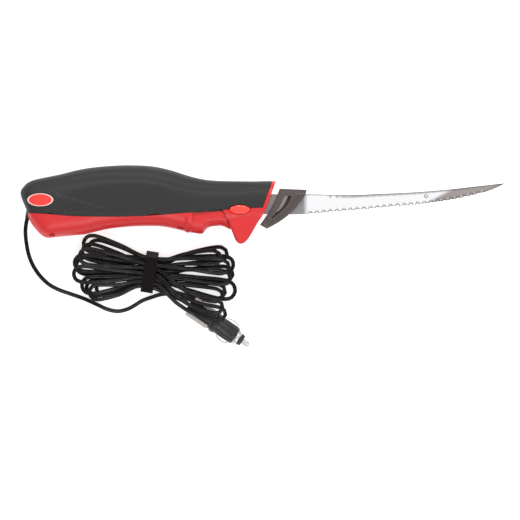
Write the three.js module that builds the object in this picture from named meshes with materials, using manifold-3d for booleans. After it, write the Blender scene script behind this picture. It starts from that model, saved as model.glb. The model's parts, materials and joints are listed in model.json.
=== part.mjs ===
// Corded electric fillet knife lying on its left side: a black and red two-shell handle that holds
// a motor, a worm drive and two sliders, a pair of toothed blades with moulded guards, and a tied
// flat cord with a vehicle lighter plug. Millimetres; +X to the blade tip, +Y to the blade's back,
// +Z up from the table. The knife's own pieces are placed from the blades' plane, the cord from the table.
import * as THREE from 'three';
import { mergeVertices } from 'three/addons/utils/BufferGeometryUtils.js';
import Module from 'manifold-3d';

const wasm = await Module();
wasm.setup();

// Fits
const GAP = 0.3; // between pieces that seat on each other
const RUNNING = 0.3; // round a turning shaft and beside a sliding bar
const FAR = 90; // reach of a cutting block past the handle

// Handle casing: outlines seen from the side, and how far the side lies inside the flat cheek
const CASING_HALF = 24;
const CASING_WALL = 2.5;
const SECTION_POWER = 2.4;
const SECTION_SIDES = 20;
const HOLLOW_SIDES = 12;
const STATIONS = [
  -248.6, -247.6, -245.4, -242.8, -241, -239.4, -236, -230, -224.5, -218, -208, -192, -172, -150, -128,
  -110, -92, -79, -66, -52, -34, -10, 20,
];
const TOP_LINE = [
  [-248.6, 12.6], [-248, 15], [-245, 19], [-242, 22], [-236, 25], [-223, 28], [-208, 31], [-190, 35.5],
  [-171, 38.5], [-146, 40.3], [-128, 40.3], [-115, 39.5], [-103, 37.5], [-91, 34.4], [-78.5, 30.3],
  [-66, 27], [-54, 25], [-35, 24.2], [20, 24.2],
];
const BOTTOM_LINE = [
  [-248.6, 10.4], [-247.5, 6.5], [-245, 0.5], [-242.6, -5.2], [-241.2, -9.5], [-240, -14.5], [-236, -21.6],
  [-229.5, -29.3], [-224, -33.4], [-220, -34.4], [-211, -33.4], [-196, -32], [-183, -30.6], [-171, -27.8],
  [-159, -25.2], [-146, -23.6], [-134, -22.6], [-115, -22.1], [-103, -22.6], [-91, -24.7], [-78.5, -27.2],
  [-66, -27], [-52, -23.5], [-36, -22], [-12, -20], [20, -18],
];
const CHEEK_INSET = [
  [-248.6, 20], [-247.5, 15], [-245, 11], [-242, 8], [-236, 4.6], [-225, 1.6], [-212, 0], [-195, -0.9],
  [-150, -1.2], [-105, -1], [-88, 0], [-70, 1.8], [-54, 3], [-35, 4.2], [-10, 5.4], [20, 6.6],
];
const PARTING_LINE = [
  [-241, -8.7], [-220, -9.8], [-196, -11.8], [-159, -12.5], [-136, -12.3], [-109, -11.1], [-85, -9],
  [-60, -7.2], [-41, -5.7], [-11, -3.6], [4, -3.1],
];

// Slanted front rim and finger guard
const RIM_TOP = [14, 24.2];
const RIM_FOOT = [4.3, -3.1];
const RIM_DEPTH = 3.8;
const RIM_LAP = 8; // how far the rim runs down into the guard
const GUARD_HALF = 15.5;
const GUARD_ROUND = 3.5;
const GUARD_OUTLINE = [
  [-40.4, -5], [-32.2, -25], [-29.6, -31.5], [-27.6, -36.3], [-25.2, -39.2], [-22, -40.3], [-18.8, -39.4],
  [-15.8, -36.6], [-12.7, -32.4], [-4.5, -18], [1.7, -8.7], [4.3, -3.1],
];
const GUARD_FRONT = 8; // first point of the guard's front edge in its outline
const GUARD_WALL_X = [-30, -27]; // cross wall inside the guard

// Screws that clamp the two shells
const SCREW_R = 1.4;
const SCREW_HEAD_R = 2.8;
const SCREW_HEAD = 2;
const SCREW_SEAT = 6; // below the parting line
const SCREW_BITE = 8; // above the parting line
const BOSS_R = 3.4;
const SCREW_PLACES = [[-216, 11.5], [-216, -11.5], [-84, 11], [-84, -11]];

// Oval badge and release button
const BADGE = { x: -227.8, y: 4.7, a: 13.4, b: 6.6, thickness: 1.1, proud: 0.4 };
const BUTTON = { x: -23.4, y: -5.2, a: 11, b: 4.8, crown: 19.6, back: 12, round: 1.6, flange: 0.9,
  rim: 1.2 };
const BUTTON_PLAY = 0.45;
const BUTTON_TRAVEL = 2.5;
const BUTTON_STEM_R = 2;
const CHANNEL_WALL = 1.2; // walls beside the sliders that the button springs push on

// Motor
const MOTOR_Y = 16;
const MOTOR_R = 17.9;
const MOTOR_X = [-166, -116];
const CAN_WALL = 1.2;
const CAP_THICKNESS = 5;
const SHAFT_R = 1.6;
const ARMATURE_R = 12.5;
const MAGNET_THICKNESS = 2.9;
const MAGNET_SPREAD = 1.05; // half angle, radians
const COIL_X = [-160, -126];
const SADDLE_X = [-152, -149];
const SADDLE_HALF = 13;
const SADDLE_GRIP = 10; // how far the saddles reach from the motor's axis

// Worm and gear, one start
const MODULE_SIZE = 1.25;
const GEAR_TEETH = 20;
const GEAR_X = -92;
const GEAR_HALF = 2.8;
const GEAR_TIP = 1.1;
const GEAR_ROOT = 1.6;
const WORM_PITCH_R = 5;
const WORM_TIP = 1.1;
const WORM_ROOT = 1.5;
const WORM_LENGTH = 24;
const TOOTH_TIP = 0.8;
const TOOTH_ROOT = 2.6;
const AXLE_R = 1.5;
const AXLE_HEAD_R = 3;
const AXLE_HEAD = 1;

// Eccentrics and sliders
const STROKE = 3.5; // each blade moves this far both ways
const CAM_R = 6.2;
const CAM_PLAY = 0.95; // room beside an eccentric in its fork
const CAM_STEP = 0.2; // how far an eccentric starts inside the gear and ends inside its fork
const FORK_WALL = 3;
const FORK_FLOOR = 2.5;
const FORK_TOP = 8.2; // above the gear's centre
const SLIDER_THICKNESS = 2.3;
const SLIDER_PLAY = 0.5; // beside the gear
const SLIDER_Y = [-4, 4.7];
const SLIDER_FRONT = -5;
const SLIDER_NOSE = 27; // length of the thick end that takes the tang
const STUD_X = -20;
const STUD_Y = 0.4;
const STUD_R = 2;
const CHEEK_THICKNESS = 1.5;

// Frame that joins the motor, the worm and the gear
const FRAME_PLATE = 2;
const FRAME_FLOOR = -16;
const FRAME_TOP = 30;
const FRAME_HALF = 13;
const FRAME_FRONT = -71.5;
const FRAME_WAIST = [-2, 9.5]; // cheeks beside the worm, from the gear's centre
const FRAME_STEP = [0.8, 2.8]; // slope behind the bush, in front of the worm
const FRAME_TOE = 2;
const SEAT_FROM_MOTOR = 2;
const SEAT_FROM_GEAR = 9;
const SEAT_LENGTH = 2.2;
const BUSH_LENGTH = 5;
const BUSH_R = 3.2;
const BUSH_HOUSING = [9, 23];
const FRAME_SCREW_PCR = 12.5;
const GUIDE_X = [-60, -40];
const GUIDE_Y = [-8.9, 8];

// Trigger, its pin, spring and switch
const TRIGGER_LINE = [
  [-73.9, -28.8], [-68, -29.6], [-63.5, -30.1], [-60.8, -29.4], [-58.6, -26.5], [-56, -24], [-52, -22.6],
  [-47.6, -22.1], [-43, -21.8], [-38, -23.2], [-33, -26],
];
const TRIGGER_STATIONS = [-73.9, -68, -63.5, -60.8, -58.4, -55, -49, -43, -38, -33];
const TRIGGER_WALL = 2;
const TRIGGER_SIDE_PLAY = 1;
const TRIGGER_RISE = 2; // hidden above the parting line
const TRIGGER_PIVOT = [-66, -23.5];
const TRIGGER_PULL = 4; // degrees
const TRIGGER_LIP_X = -72; // the lower shell's side walls end here
const TRIGGER_BAY_X = -74.9;
const TRIGGER_BAY_FLOOR = -24;
const TRIGGER_REAR_TOP = -20;
const TRIGGER_LEAN = 1.6;
const TRIGGER_FRONT_PLAY = 1.3; // behind the guard
const TRIGGER_TONGUE = [[2, 5], [1.5, 0], [5, -10], [3, -11.5]]; // nose inside the guard, from its top
const TRIGGER_SHOULDER = 3; // below the parting line, where the sides start to round
const BULKHEAD = 2.5;
const DECK_Y = [-13.2, -9.2];
const DECK_HALF = 5;
const PIN_R = 1.25;
const PIN_BOSS_R = 3;
const EAR_THICKNESS = 2;
const SPRING_WIRE = 0.8;
const TRIGGER_SPRING_X = -42;
const TRIGGER_SPRING_R = 3;
const SWITCH_X = [-58, -45.2];
const SWITCH_WIDTH = 5.8;
const SWITCH_INSET = 4.5; // inside the trigger's wall
const SWITCH_HEIGHT = 6.5;
const SWITCH_CLEAR = 0.2; // beside the slider guide
const SHELF = 2.4;
const SHELF_DROP = 0.2; // below the deck's top
const SHELF_LAP = 0.5;
const POST_HALF = 2; // post on the trigger under the switch
const PLUNGER_X = -50;
const PLUNGER_R = 0.9;
const PLUNGER_REACH = 5.8; // below the switch
const PLUNGER_DEPTH = 3.6; // pocket in the switch

// Wires inside the handle; the third value is how far they run inside the flat cheek
const WIRE_R = 0.9;
const WIRE_INSET = 3; // from the switch's ends
const SUPPLY_ROUTE = [
  [-236, 6, 22], [-226, 4, 20], [-211, 0, 19], [-197, -4, 13], [-180, -6, 7.5], [-150, -7, 7], [-115, -6, 7],
  [-92, -3, 7], [-78, 4, 8.5], [-66, 9, 11], [-57, 8, 12.5],
];
const MOTOR_ROUTE = [
  [-48, 5, 12.5], [-56, 12, 12], [-70, 10, 8.5], [-90, 8, 6], [-115, 7, 4.6], [-150, 7, 4.3], [-166, 9, 5.8],
  [-173, 13, 9], [-174, 16, 13],
];
const MOTOR_LUG = 11; // from the motor's axis

// Blades, lying against each other about the middle plane
const BLADE_THICKNESS = 1.2;
const BLADE_GAP = 0.3;
const BLADE_HEEL = 46;
const TOOTH_LENGTH = 6.9;
const TOOTH_DEPTH = 1.3;
const TEETH = 26;
const TANG_BACK = -34;
const TANG_FRONT = -3;
const TANG_Y = [-3.6, 4.2];
const SPINE_LINE = [[-3, 10.6], [46, 10.6], [89, 9.8], [119, 11], [157, 12.8], [194, 15.8],
  [224, 19.2], [248.6, 21.9]];
const EDGE_LINE = [
  [-3, -9.8], [46, -9.8], [73.6, -7.5], [104, -5.2], [134, -2.3], [164, 0.4], [194, 4.5], [209, 7.6],
  [224, 11.3], [239, 16.7], [248.6, 21.3],
];
const RIVET_X = 168.3;
const RIVET_Y = 8.6;
const RIVET_R = 1;
const RIVET_HEAD_R = 1.9;
const RIVET_HEAD = 0.55;

// Guards moulded on the blades
const COLLAR_HALF = 8;
const COLLAR_OUTLINE = [
  [17.8, 16.3], [45.5, 15.2], [44.9, 11.5], [41.6, 6], [37, 0], [31.8, -6.2], [26, -11.4], [20.6, -15.6],
  [15, -19.2], [9.4, -22.4], [4.5, -24.8], [-2.4, -20.9], [3.6, -12.4], [9, -4.1], [13, 4], [16, 11.9],
];
const COLLAR_WINDOW = [[22.6, 9.7], [29.8, 8.3], [28, 3.2], [25, -1.3], [18.2, -8], [9.7, -14.1],
  [14.8, -6.2], [19.2, 2]];

// Cord: a flat twin lead, its hank and the strap
const CORD_WIDTH = 4.2;
const CORD_THICKNESS = 2.3;
const GLAND = { x: -240.2, y: -8.6, r: 2.9, inside: 7, outside: 5.6, lean: 0.25 };
const LEAD_ROUTE = [
  [-242.7, -19, 23.8], [-243.5, -25.3, 22.4], [-243.5, -32, 19.4], [-242.9, -38.4, 15.4], [-242, -45, 11],
  [-240.6, -51.5, 7], [-238.6, -57.5, 3.9], [-235.9, -63.3, 2.2], [-232, -69.5, 1.5], [-227.5, -75.1, 1.4],
  [-219.6, -82.3, 1.4], [-209.7, -87.6, 1.4], [-196.7, -92.2, 1.4], [-183.5, -96.9, 1.4], [-170, -103, 1.4],
  [-159, -108, 1.4], [-148.5, -109.8, 1.4], [-138.5, -107.4, 1.4], [-131, -103.4, 1.4], [-123.7, -98.9, 1.4],
  [-114, -95.4, 1.5], [-106.5, -92.9, 1.8], [-99.4, -91.9, 2],
];
const TAIL_ROUTE = [[-98, -92.6, 13.4], [-90, -94.6, 13.6], [-83.5, -96.9, 12.2]];
const HANK = { x: -116, y: -69.4, turn: -9 };
const HANK_LOOPS = 10;
const HANK_LAYERS = 4;
const LAYER_RISE = 3;
const LOOP_REACH = 82;
const LOOP_WAIST = 16.4;
// each layer's lobes: how far they swell, and how much less each loop further in
const LOOP_SWELL = [46, 40, 46, 40];
const SWELL_STEP = [7.8, 5.5, 7.8, 5.5];
const STRAND_PITCH = 5.3;
const HANK_SHIFT = 4; // the right lobes reach further than the left
// lean of each layer's lobes away from the hank's axis
const FAN_RIGHT = [0.14, 0.26, 0.22, 0.16];
const FAN_LEFT = [0.1, -0.14, 0.06, -0.1];
const HANK_START = 0.068; // turns past the strap, where the lead joins the first loop
const HANK_RUN = 8; // straight end past the strap
const RUN_LEAN = 10; // degrees that the straight end leans outwards
const LOOP_STEPS = 20;
const TIE_WIDTH = 12.5;
const TIE_THICKNESS = 1.4;
const TIE_ROUND = 3;
const TIE_ROOM = 1.5; // beside the outer strands

// Vehicle lighter plug, along its own axis from the cord end
const PLUG = { x: -75.4, y: -103, turn: -34.2 };
const PLUG_R = 10.4;
const PLUG_CHAMFER = 0.8;
const GRIP_LENGTH = 30;
const GRIP_R = 9.4;
const GRIP_REAR_R = 8.2;
const GRIP_TAPER = 9; // length over which the grip widens
const GRIP_CHAMFER = 1.5;
const FLANGE_LENGTH = 6;
const BARREL_R = 9.4;
const BARREL_FRONT = 58;
const BARREL_BORE = 4.6;
const NOSE_RING_R = 8.2;
const NOSE_RING_LENGTH = 3.6;
const NOSE_RING_CHAMFER = 0.6;
const INSULATOR_R = 6.4;
const INSULATOR_LENGTH = 4.4;
const INSULATOR_TAPER = 1.2;
const TIP_R = 3;
const TIP_FRONT = 74.8;
const TIP_BACK = 54;
const TIP_FLANGE_R = 4.2;
const TIP_FLANGE = 2;
const TIP_NOSE = [2.6, 0.8]; // from its front, where it narrows and where it rounds off
const TIP_NOSE_R = 2.25;
const PAD_THICKNESS = 1.2;
const PAD_SPREAD = 0.85; // half angle, radians
const PAD_END = 2; // from either end of the grip
const CONTACT_WIDTH = 5;
const CONTACT_BOW = 2.2;
const CONTACT_THICKNESS = 0.8;
const CONTACT_ENDS = [4, 3]; // from the flange and from the barrel's front

// Finishes
const FINISH = {
  black: { color: 0x35353a, roughness: 0.7, metalness: 0 },
  red: { color: 0xd23c3c, roughness: 0.42, metalness: 0 },
  orange: { color: 0xff5a4c, roughness: 0.25, metalness: 0 },
  guard: { color: 0x4c4442, roughness: 0.6, metalness: 0 },
  blade: { color: 0xd8dadc, roughness: 0.22, metalness: 1 },
  steel: { color: 0x9a9da1, roughness: 0.35, metalness: 1 },
  brass: { color: 0xb08d4a, roughness: 0.4, metalness: 1 },
  nylon: { color: 0xe6e2d6, roughness: 0.5, metalness: 0 },
  copper: { color: 0xa8613a, roughness: 0.5, metalness: 1 },
  cord: { color: 0x232325, roughness: 0.55, metalness: 0 },
  strap: { color: 0x181114, roughness: 0.95, metalness: 0 },
  plug: { color: 0x37342f, roughness: 0.5, metalness: 0 },
  pad: { color: 0xa5a09e, roughness: 0.6, metalness: 0 },
};

const V2 = ([x, y]) => new THREE.Vector2(x, y);
const V3 = ([x, y, z]) => new THREE.Vector3(x, y, z);
const span = (side, near, far) => (side > 0 ? [near, far] : [-far, -near]);

// A height read along X from a smooth line through points.
function smoothLine(points) {
  const last = points.length - 1;
  const slope = (i) => {
    const before = points[Math.max(i - 1, 0)];
    const after = points[Math.min(i + 1, last)];
    return (after[1] - before[1]) / (after[0] - before[0]);
  };
  return (x) => {
    if (x <= points[0][0]) return points[0][1];
    if (x >= points[last][0]) return points[last][1];
    const i = points.findIndex((p) => p[0] > x) - 1;
    const width = points[i + 1][0] - points[i][0];
    const t = (x - points[i][0]) / width;
    const rise = t * t * (3 - 2 * t);
    const bend = t * (1 - t) * width * ((1 - t) * slope(i) - t * slope(i + 1));
    return points[i][1] * (1 - rise) + points[i + 1][1] * rise + bend;
  };
}
const topLine = smoothLine(TOP_LINE);
const bottomLine = smoothLine(BOTTOM_LINE);
const cheekInset = smoothLine(CHEEK_INSET);
const partingLine = smoothLine(PARTING_LINE);
const smoothStep = (t) => {
  const u = Math.min(Math.max(t, 0), 1);
  return u * u * (3 - 2 * u);
};

// A closed solid from any closed geometry, with its faces turned outwards.
function solid(geometry) {
  const bare = new THREE.BufferGeometry();
  bare.setAttribute('position', geometry.getAttribute('position').clone());
  if (geometry.index) bare.setIndex(geometry.index.clone());
  const merged = mergeVertices(bare, 1e-4);
  const at = merged.getAttribute('position').array;
  const corners = merged.index.array;
  const faces = [];
  let volume = 0;
  for (let i = 0; i < corners.length; i += 3) {
    const [a, b, c] = [corners[i], corners[i + 1], corners[i + 2]];
    if (a === b || b === c || c === a) continue;
    faces.push([a, b, c]);
    const p = new THREE.Vector3().fromArray(at, 3 * a);
    const q = new THREE.Vector3().fromArray(at, 3 * b);
    volume += p.dot(q.cross(new THREE.Vector3().fromArray(at, 3 * c)));
  }
  const triVerts = new Uint32Array(faces.flatMap(([a, b, c]) => (volume < 0 ? [a, c, b] : [a, b, c])));
  return new wasm.Manifold(new wasm.Mesh({ numProp: 3, vertProperties: new Float32Array(at), triVerts }));
}

// A solid of one outline in X and Y between two heights.
function prism(outline, [low, high], holes = []) {
  const points = outline.map(V2);
  const shape = new THREE.Shape(THREE.ShapeUtils.isClockWise(points) ? points.reverse() : points);
  shape.holes = holes.map((hole) => new THREE.Path(hole.map(V2)));
  const geometry = new THREE.ExtrudeGeometry(shape, { depth: high - low, bevelEnabled: false });
  geometry.translate(0, 0, low);
  return solid(geometry);
}

// The same with both faces rounded over.
function cushion(outline, [low, high], round, segments) {
  const geometry = new THREE.ExtrudeGeometry(new THREE.Shape(outline.map(V2)), {
    depth: high - low - 2 * round,
    bevelThickness: round,
    bevelSize: round,
    bevelOffset: -round,
    bevelSegments: segments,
  });
  geometry.translate(0, 0, low + round);
  return solid(geometry);
}

function block([x0, x1], [y0, y1], [z0, z1]) {
  const geometry = new THREE.BoxGeometry(x1 - x0, y1 - y0, z1 - z0);
  geometry.translate((x0 + x1) / 2, (y0 + y1) / 2, (z0 + z1) / 2);
  return solid(geometry);
}

function rod(radius, from, to, sides = 16) {
  const start = V3(from);
  const along = V3(to).sub(start);
  const geometry = new THREE.CylinderGeometry(radius, radius, along.length(), sides);
  const turn = new THREE.Quaternion().setFromUnitVectors(new THREE.Vector3(0, 1, 0),
    along.clone().normalize());
  geometry.applyQuaternion(turn);
  geometry.translate(...start.addScaledVector(along, 0.5).toArray());
  return solid(geometry);
}

// A solid turned about X from a closed profile of [x, radius].
function turned(profile, [y, z], sides = 20) {
  const points = [...profile, profile[0]].map(([x, r]) => new THREE.Vector2(r, x));
  const geometry = new THREE.LatheGeometry(points, sides);
  geometry.rotateZ(-Math.PI / 2);
  geometry.translate(0, y, z);
  return solid(geometry);
}

// A skin through rings of points, closed at both ends.
function loft(rings) {
  const sides = rings[0].length;
  const positions = rings.flat().flatMap((p) => p.toArray());
  const index = [];
  for (let r = 0; r < rings.length - 1; r++) {
    for (let i = 0; i < sides; i++) {
      const a = r * sides + i;
      const b = r * sides + ((i + 1) % sides);
      index.push(a, b, b + sides, a, b + sides, a + sides);
    }
  }
  for (const r of [0, rings.length - 1]) {
    const centre = positions.length / 3;
    const middle = rings[r].reduce((sum, p) => sum.add(p), new THREE.Vector3()).divideScalar(sides);
    positions.push(...middle.toArray());
    for (let i = 0; i < sides; i++) {
      const a = r * sides + i;
      const b = r * sides + ((i + 1) % sides);
      index.push(...(r ? [a, b, centre] : [b, a, centre]));
    }
  }
  const geometry = new THREE.BufferGeometry();
  geometry.setAttribute('position', new THREE.Float32BufferAttribute(positions, 3));
  geometry.setIndex(index);
  return solid(geometry);
}

// A round wire along route points.
function wire(radius, route, steps) {
  const path = new THREE.CatmullRomCurve3(route.map(V3), false, 'centripetal');
  const shape = new THREE.Shape(circle(radius, 6).map(V2));
  return solid(new THREE.ExtrudeGeometry(shape, { steps, extrudePath: path }));
}

// Rings of a flat section that keeps its broad side level along points.
function ribbonRings(section, centres) {
  return centres.map((centre, i) => {
    const before = centres[Math.max(i - 1, 0)];
    const after = centres[Math.min(i + 1, centres.length - 1)];
    const along = after.clone().sub(before).normalize();
    const across = new THREE.Vector3(0, 0, 1).cross(along).normalize();
    const up = along.clone().cross(across);
    return section.map(([a, b]) => centre.clone().addScaledVector(across, a).addScaledVector(up, b));
  });
}
function ribbon(section, route, steps) {
  const path = new THREE.CatmullRomCurve3(route.map(V3), false, 'centripetal');
  return loft(ribbonRings(section, path.getSpacedPoints(steps)));
}

const circle = (radius, sides, [x, y] = [0, 0]) =>
  Array.from({ length: sides }, (_, i) => {
    const angle = (2 * Math.PI * i) / sides;
    return [x + radius * Math.cos(angle), y + radius * Math.sin(angle)];
  });
const oval = ({ x, y, a, b }, grow, sides = 20) =>
  circle(1, sides).map(([c, s]) => [x + (a + grow) * c, y + (b + grow) * s]);

// Scene groups: the knife is measured from the blades' plane, the rest from the table
const fishKnife = new THREE.Group();
const knife = new THREE.Group();
knife.position.z = CASING_HALF;
fishKnife.add(knife);

function piece(name, body, finish, parent = knife) {
  const { vertProperties, triVerts } = body.getMesh();
  const geometry = new THREE.BufferGeometry();
  geometry.setAttribute('position', new THREE.BufferAttribute(vertProperties, 3));
  geometry.setIndex(new THREE.BufferAttribute(triVerts, 1));
  geometry.computeVertexNormals();
  const mesh = new THREE.Mesh(geometry, new THREE.MeshStandardMaterial(finish));
  mesh.name = name;
  parent.add(mesh);
  return mesh;
}

// Casing
const bulge = (v) => Math.sign(v) * Math.abs(v) ** (2 / SECTION_POWER);
function casingRing(x, inset, sides) {
  const top = topLine(x) - inset;
  const bottom = bottomLine(x) + inset;
  const half = CASING_HALF - cheekInset(x) - inset;
  const flat = CASING_HALF - inset;
  return Array.from({ length: sides }, (_, i) => {
    const angle = (2 * Math.PI * i) / sides;
    const z = Math.min(Math.max(half * bulge(Math.cos(angle)), -flat), flat);
    return new THREE.Vector3(x, (top + bottom) / 2 + ((top - bottom) / 2) * bulge(Math.sin(angle)), z);
  });
}
const tallEnough = (x) => topLine(x) - bottomLine(x) > 8 * CASING_WALL;
const casing = (inset, sides) =>
  loft(STATIONS.filter((x) => inset <= 0.5 * CASING_WALL || tallEnough(x)).map((x) => casingRing(x,
    inset, sides)));
const outer = casing(0, SECTION_SIDES);
const inner = casing(CASING_WALL, HOLLOW_SIDES);
const lining = casing(CASING_WALL / 2, HOLLOW_SIDES); // inner pieces grow out of the wall from here

const REAR = STATIONS[0] - GAP;
const rimSlope = (RIM_TOP[0] - RIM_FOOT[0]) / (RIM_TOP[1] - RIM_FOOT[1]);
const frontX = (y) => RIM_FOOT[0] + (y - RIM_FOOT[1]) * rimSlope;
const guardFront = GUARD_OUTLINE.slice(GUARD_FRONT).reverse();
const through = [-FAR, FAR];
// everything behind the slanted front, set back by a distance along X
const behindFront = (back) =>
  prism(
    [
      [REAR, FAR], [frontX(FAR) - back, FAR], ...guardFront.map(([x, y]) => [x - back, y]),
      [guardFront.at(-1)[0], -FAR], [REAR, -FAR],
    ],
    through,
  );
const partingPoints = [REAR, ...PARTING_LINE.map(([x]) => x), STATIONS.at(-1)].map((x) => [x,
  partingLine(x)]);
const aboveParting = prism(
  [...partingPoints.map(([x, y]) => [x, y + GAP / 2]), [STATIONS.at(-1), FAR], [REAR, FAR]],
  through,
);
const belowParting = prism(
  [...partingPoints.map(([x, y]) => [x, y - GAP / 2]), [STATIONS.at(-1), -FAR], [REAR, -FAR]],
  through,
);

const wormY = MOTOR_Y;
const gearR = (MODULE_SIZE * GEAR_TEETH) / 2;
const gearY = wormY - gearR - WORM_PITCH_R;
const motorRoom = rod(MOTOR_R + GAP, [MOTOR_X[0] - FAR, MOTOR_Y, 0], [MOTOR_X[1] + FAR, MOTOR_Y, 0], 32);
const buttonHole = (side) => prism(oval(BUTTON, BUTTON_PLAY), span(side, BUTTON.back - GAP, FAR));
const glandDirection = new THREE.Vector3(-GLAND.lean, -Math.sqrt(1 - GLAND.lean ** 2), 0);
const glandPoint = (along) => [GLAND.x + along * glandDirection.x, GLAND.y + along * glandDirection.y, 0];
const glandHole = rod(GLAND.r + GAP, glandPoint(-GLAND.inside - GAP), glandPoint(FAR / 3), 16);
const badgePocket = (side) =>
  prism(oval(BADGE, GAP), span(side, GAP, FAR)).subtract(casing(BADGE.thickness - BADGE.proud + GAP,
    SECTION_SIDES));

function upperHousing() {
  let shell = outer.subtract(inner).intersect(aboveParting).intersect(behindFront(RIM_DEPTH + GAP));
  for (const [x, z] of SCREW_PLACES) {
    const foot = partingLine(x) + GAP / 2;
    const boss = rod(BOSS_R, [x, foot, z], [x, FAR, z]).intersect(lining);
    shell = shell.add(boss);
  }
  const saddle = block(SADDLE_X, [MOTOR_Y + SADDLE_GRIP, FAR],
    [-SADDLE_HALF, SADDLE_HALF]).intersect(lining);
  shell = shell.add(saddle.subtract(motorRoom));
  for (const [x, z] of SCREW_PLACES) {
    const foot = partingLine(x);
    shell = shell.subtract(rod(SCREW_R + RUNNING, [x, foot - 1, z], [x, foot + SCREW_BITE + 1, z], 12));
  }
  for (const side of [1, -1]) shell = shell.subtract(buttonHole(side)).subtract(badgePocket(side));
  return shell.subtract(glandHole);
}

const switchSide = CASING_HALF - CASING_WALL - TRIGGER_SIDE_PLAY - TRIGGER_WALL - SWITCH_INSET;
const switchZ = [switchSide - SWITCH_WIDTH, switchSide];
const switchFoot = DECK_Y[1] - SHELF_DROP + GAP;
const plungerZ = (switchZ[0] + switchZ[1]) / 2;
const triggerHalf = (x) => CASING_HALF - cheekInset(x) - CASING_WALL - TRIGGER_SIDE_PLAY;
const guardRear = GUARD_OUTLINE.slice(0, 2);
const cheekInner = BLADE_GAP / 2 + BLADE_THICKNESS + GAP; // inner face of a slider's thick end
const sliderInner = GEAR_HALF + SLIDER_PLAY;
const sliderOuter = sliderInner + SLIDER_THICKNESS;
const frameInner = sliderOuter + RUNNING;
const frameOuter = frameInner + CHEEK_THICKNESS;
const channelInner = sliderOuter + 2 * RUNNING;
const channelOuter = channelInner + CHANNEL_WALL;

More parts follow.
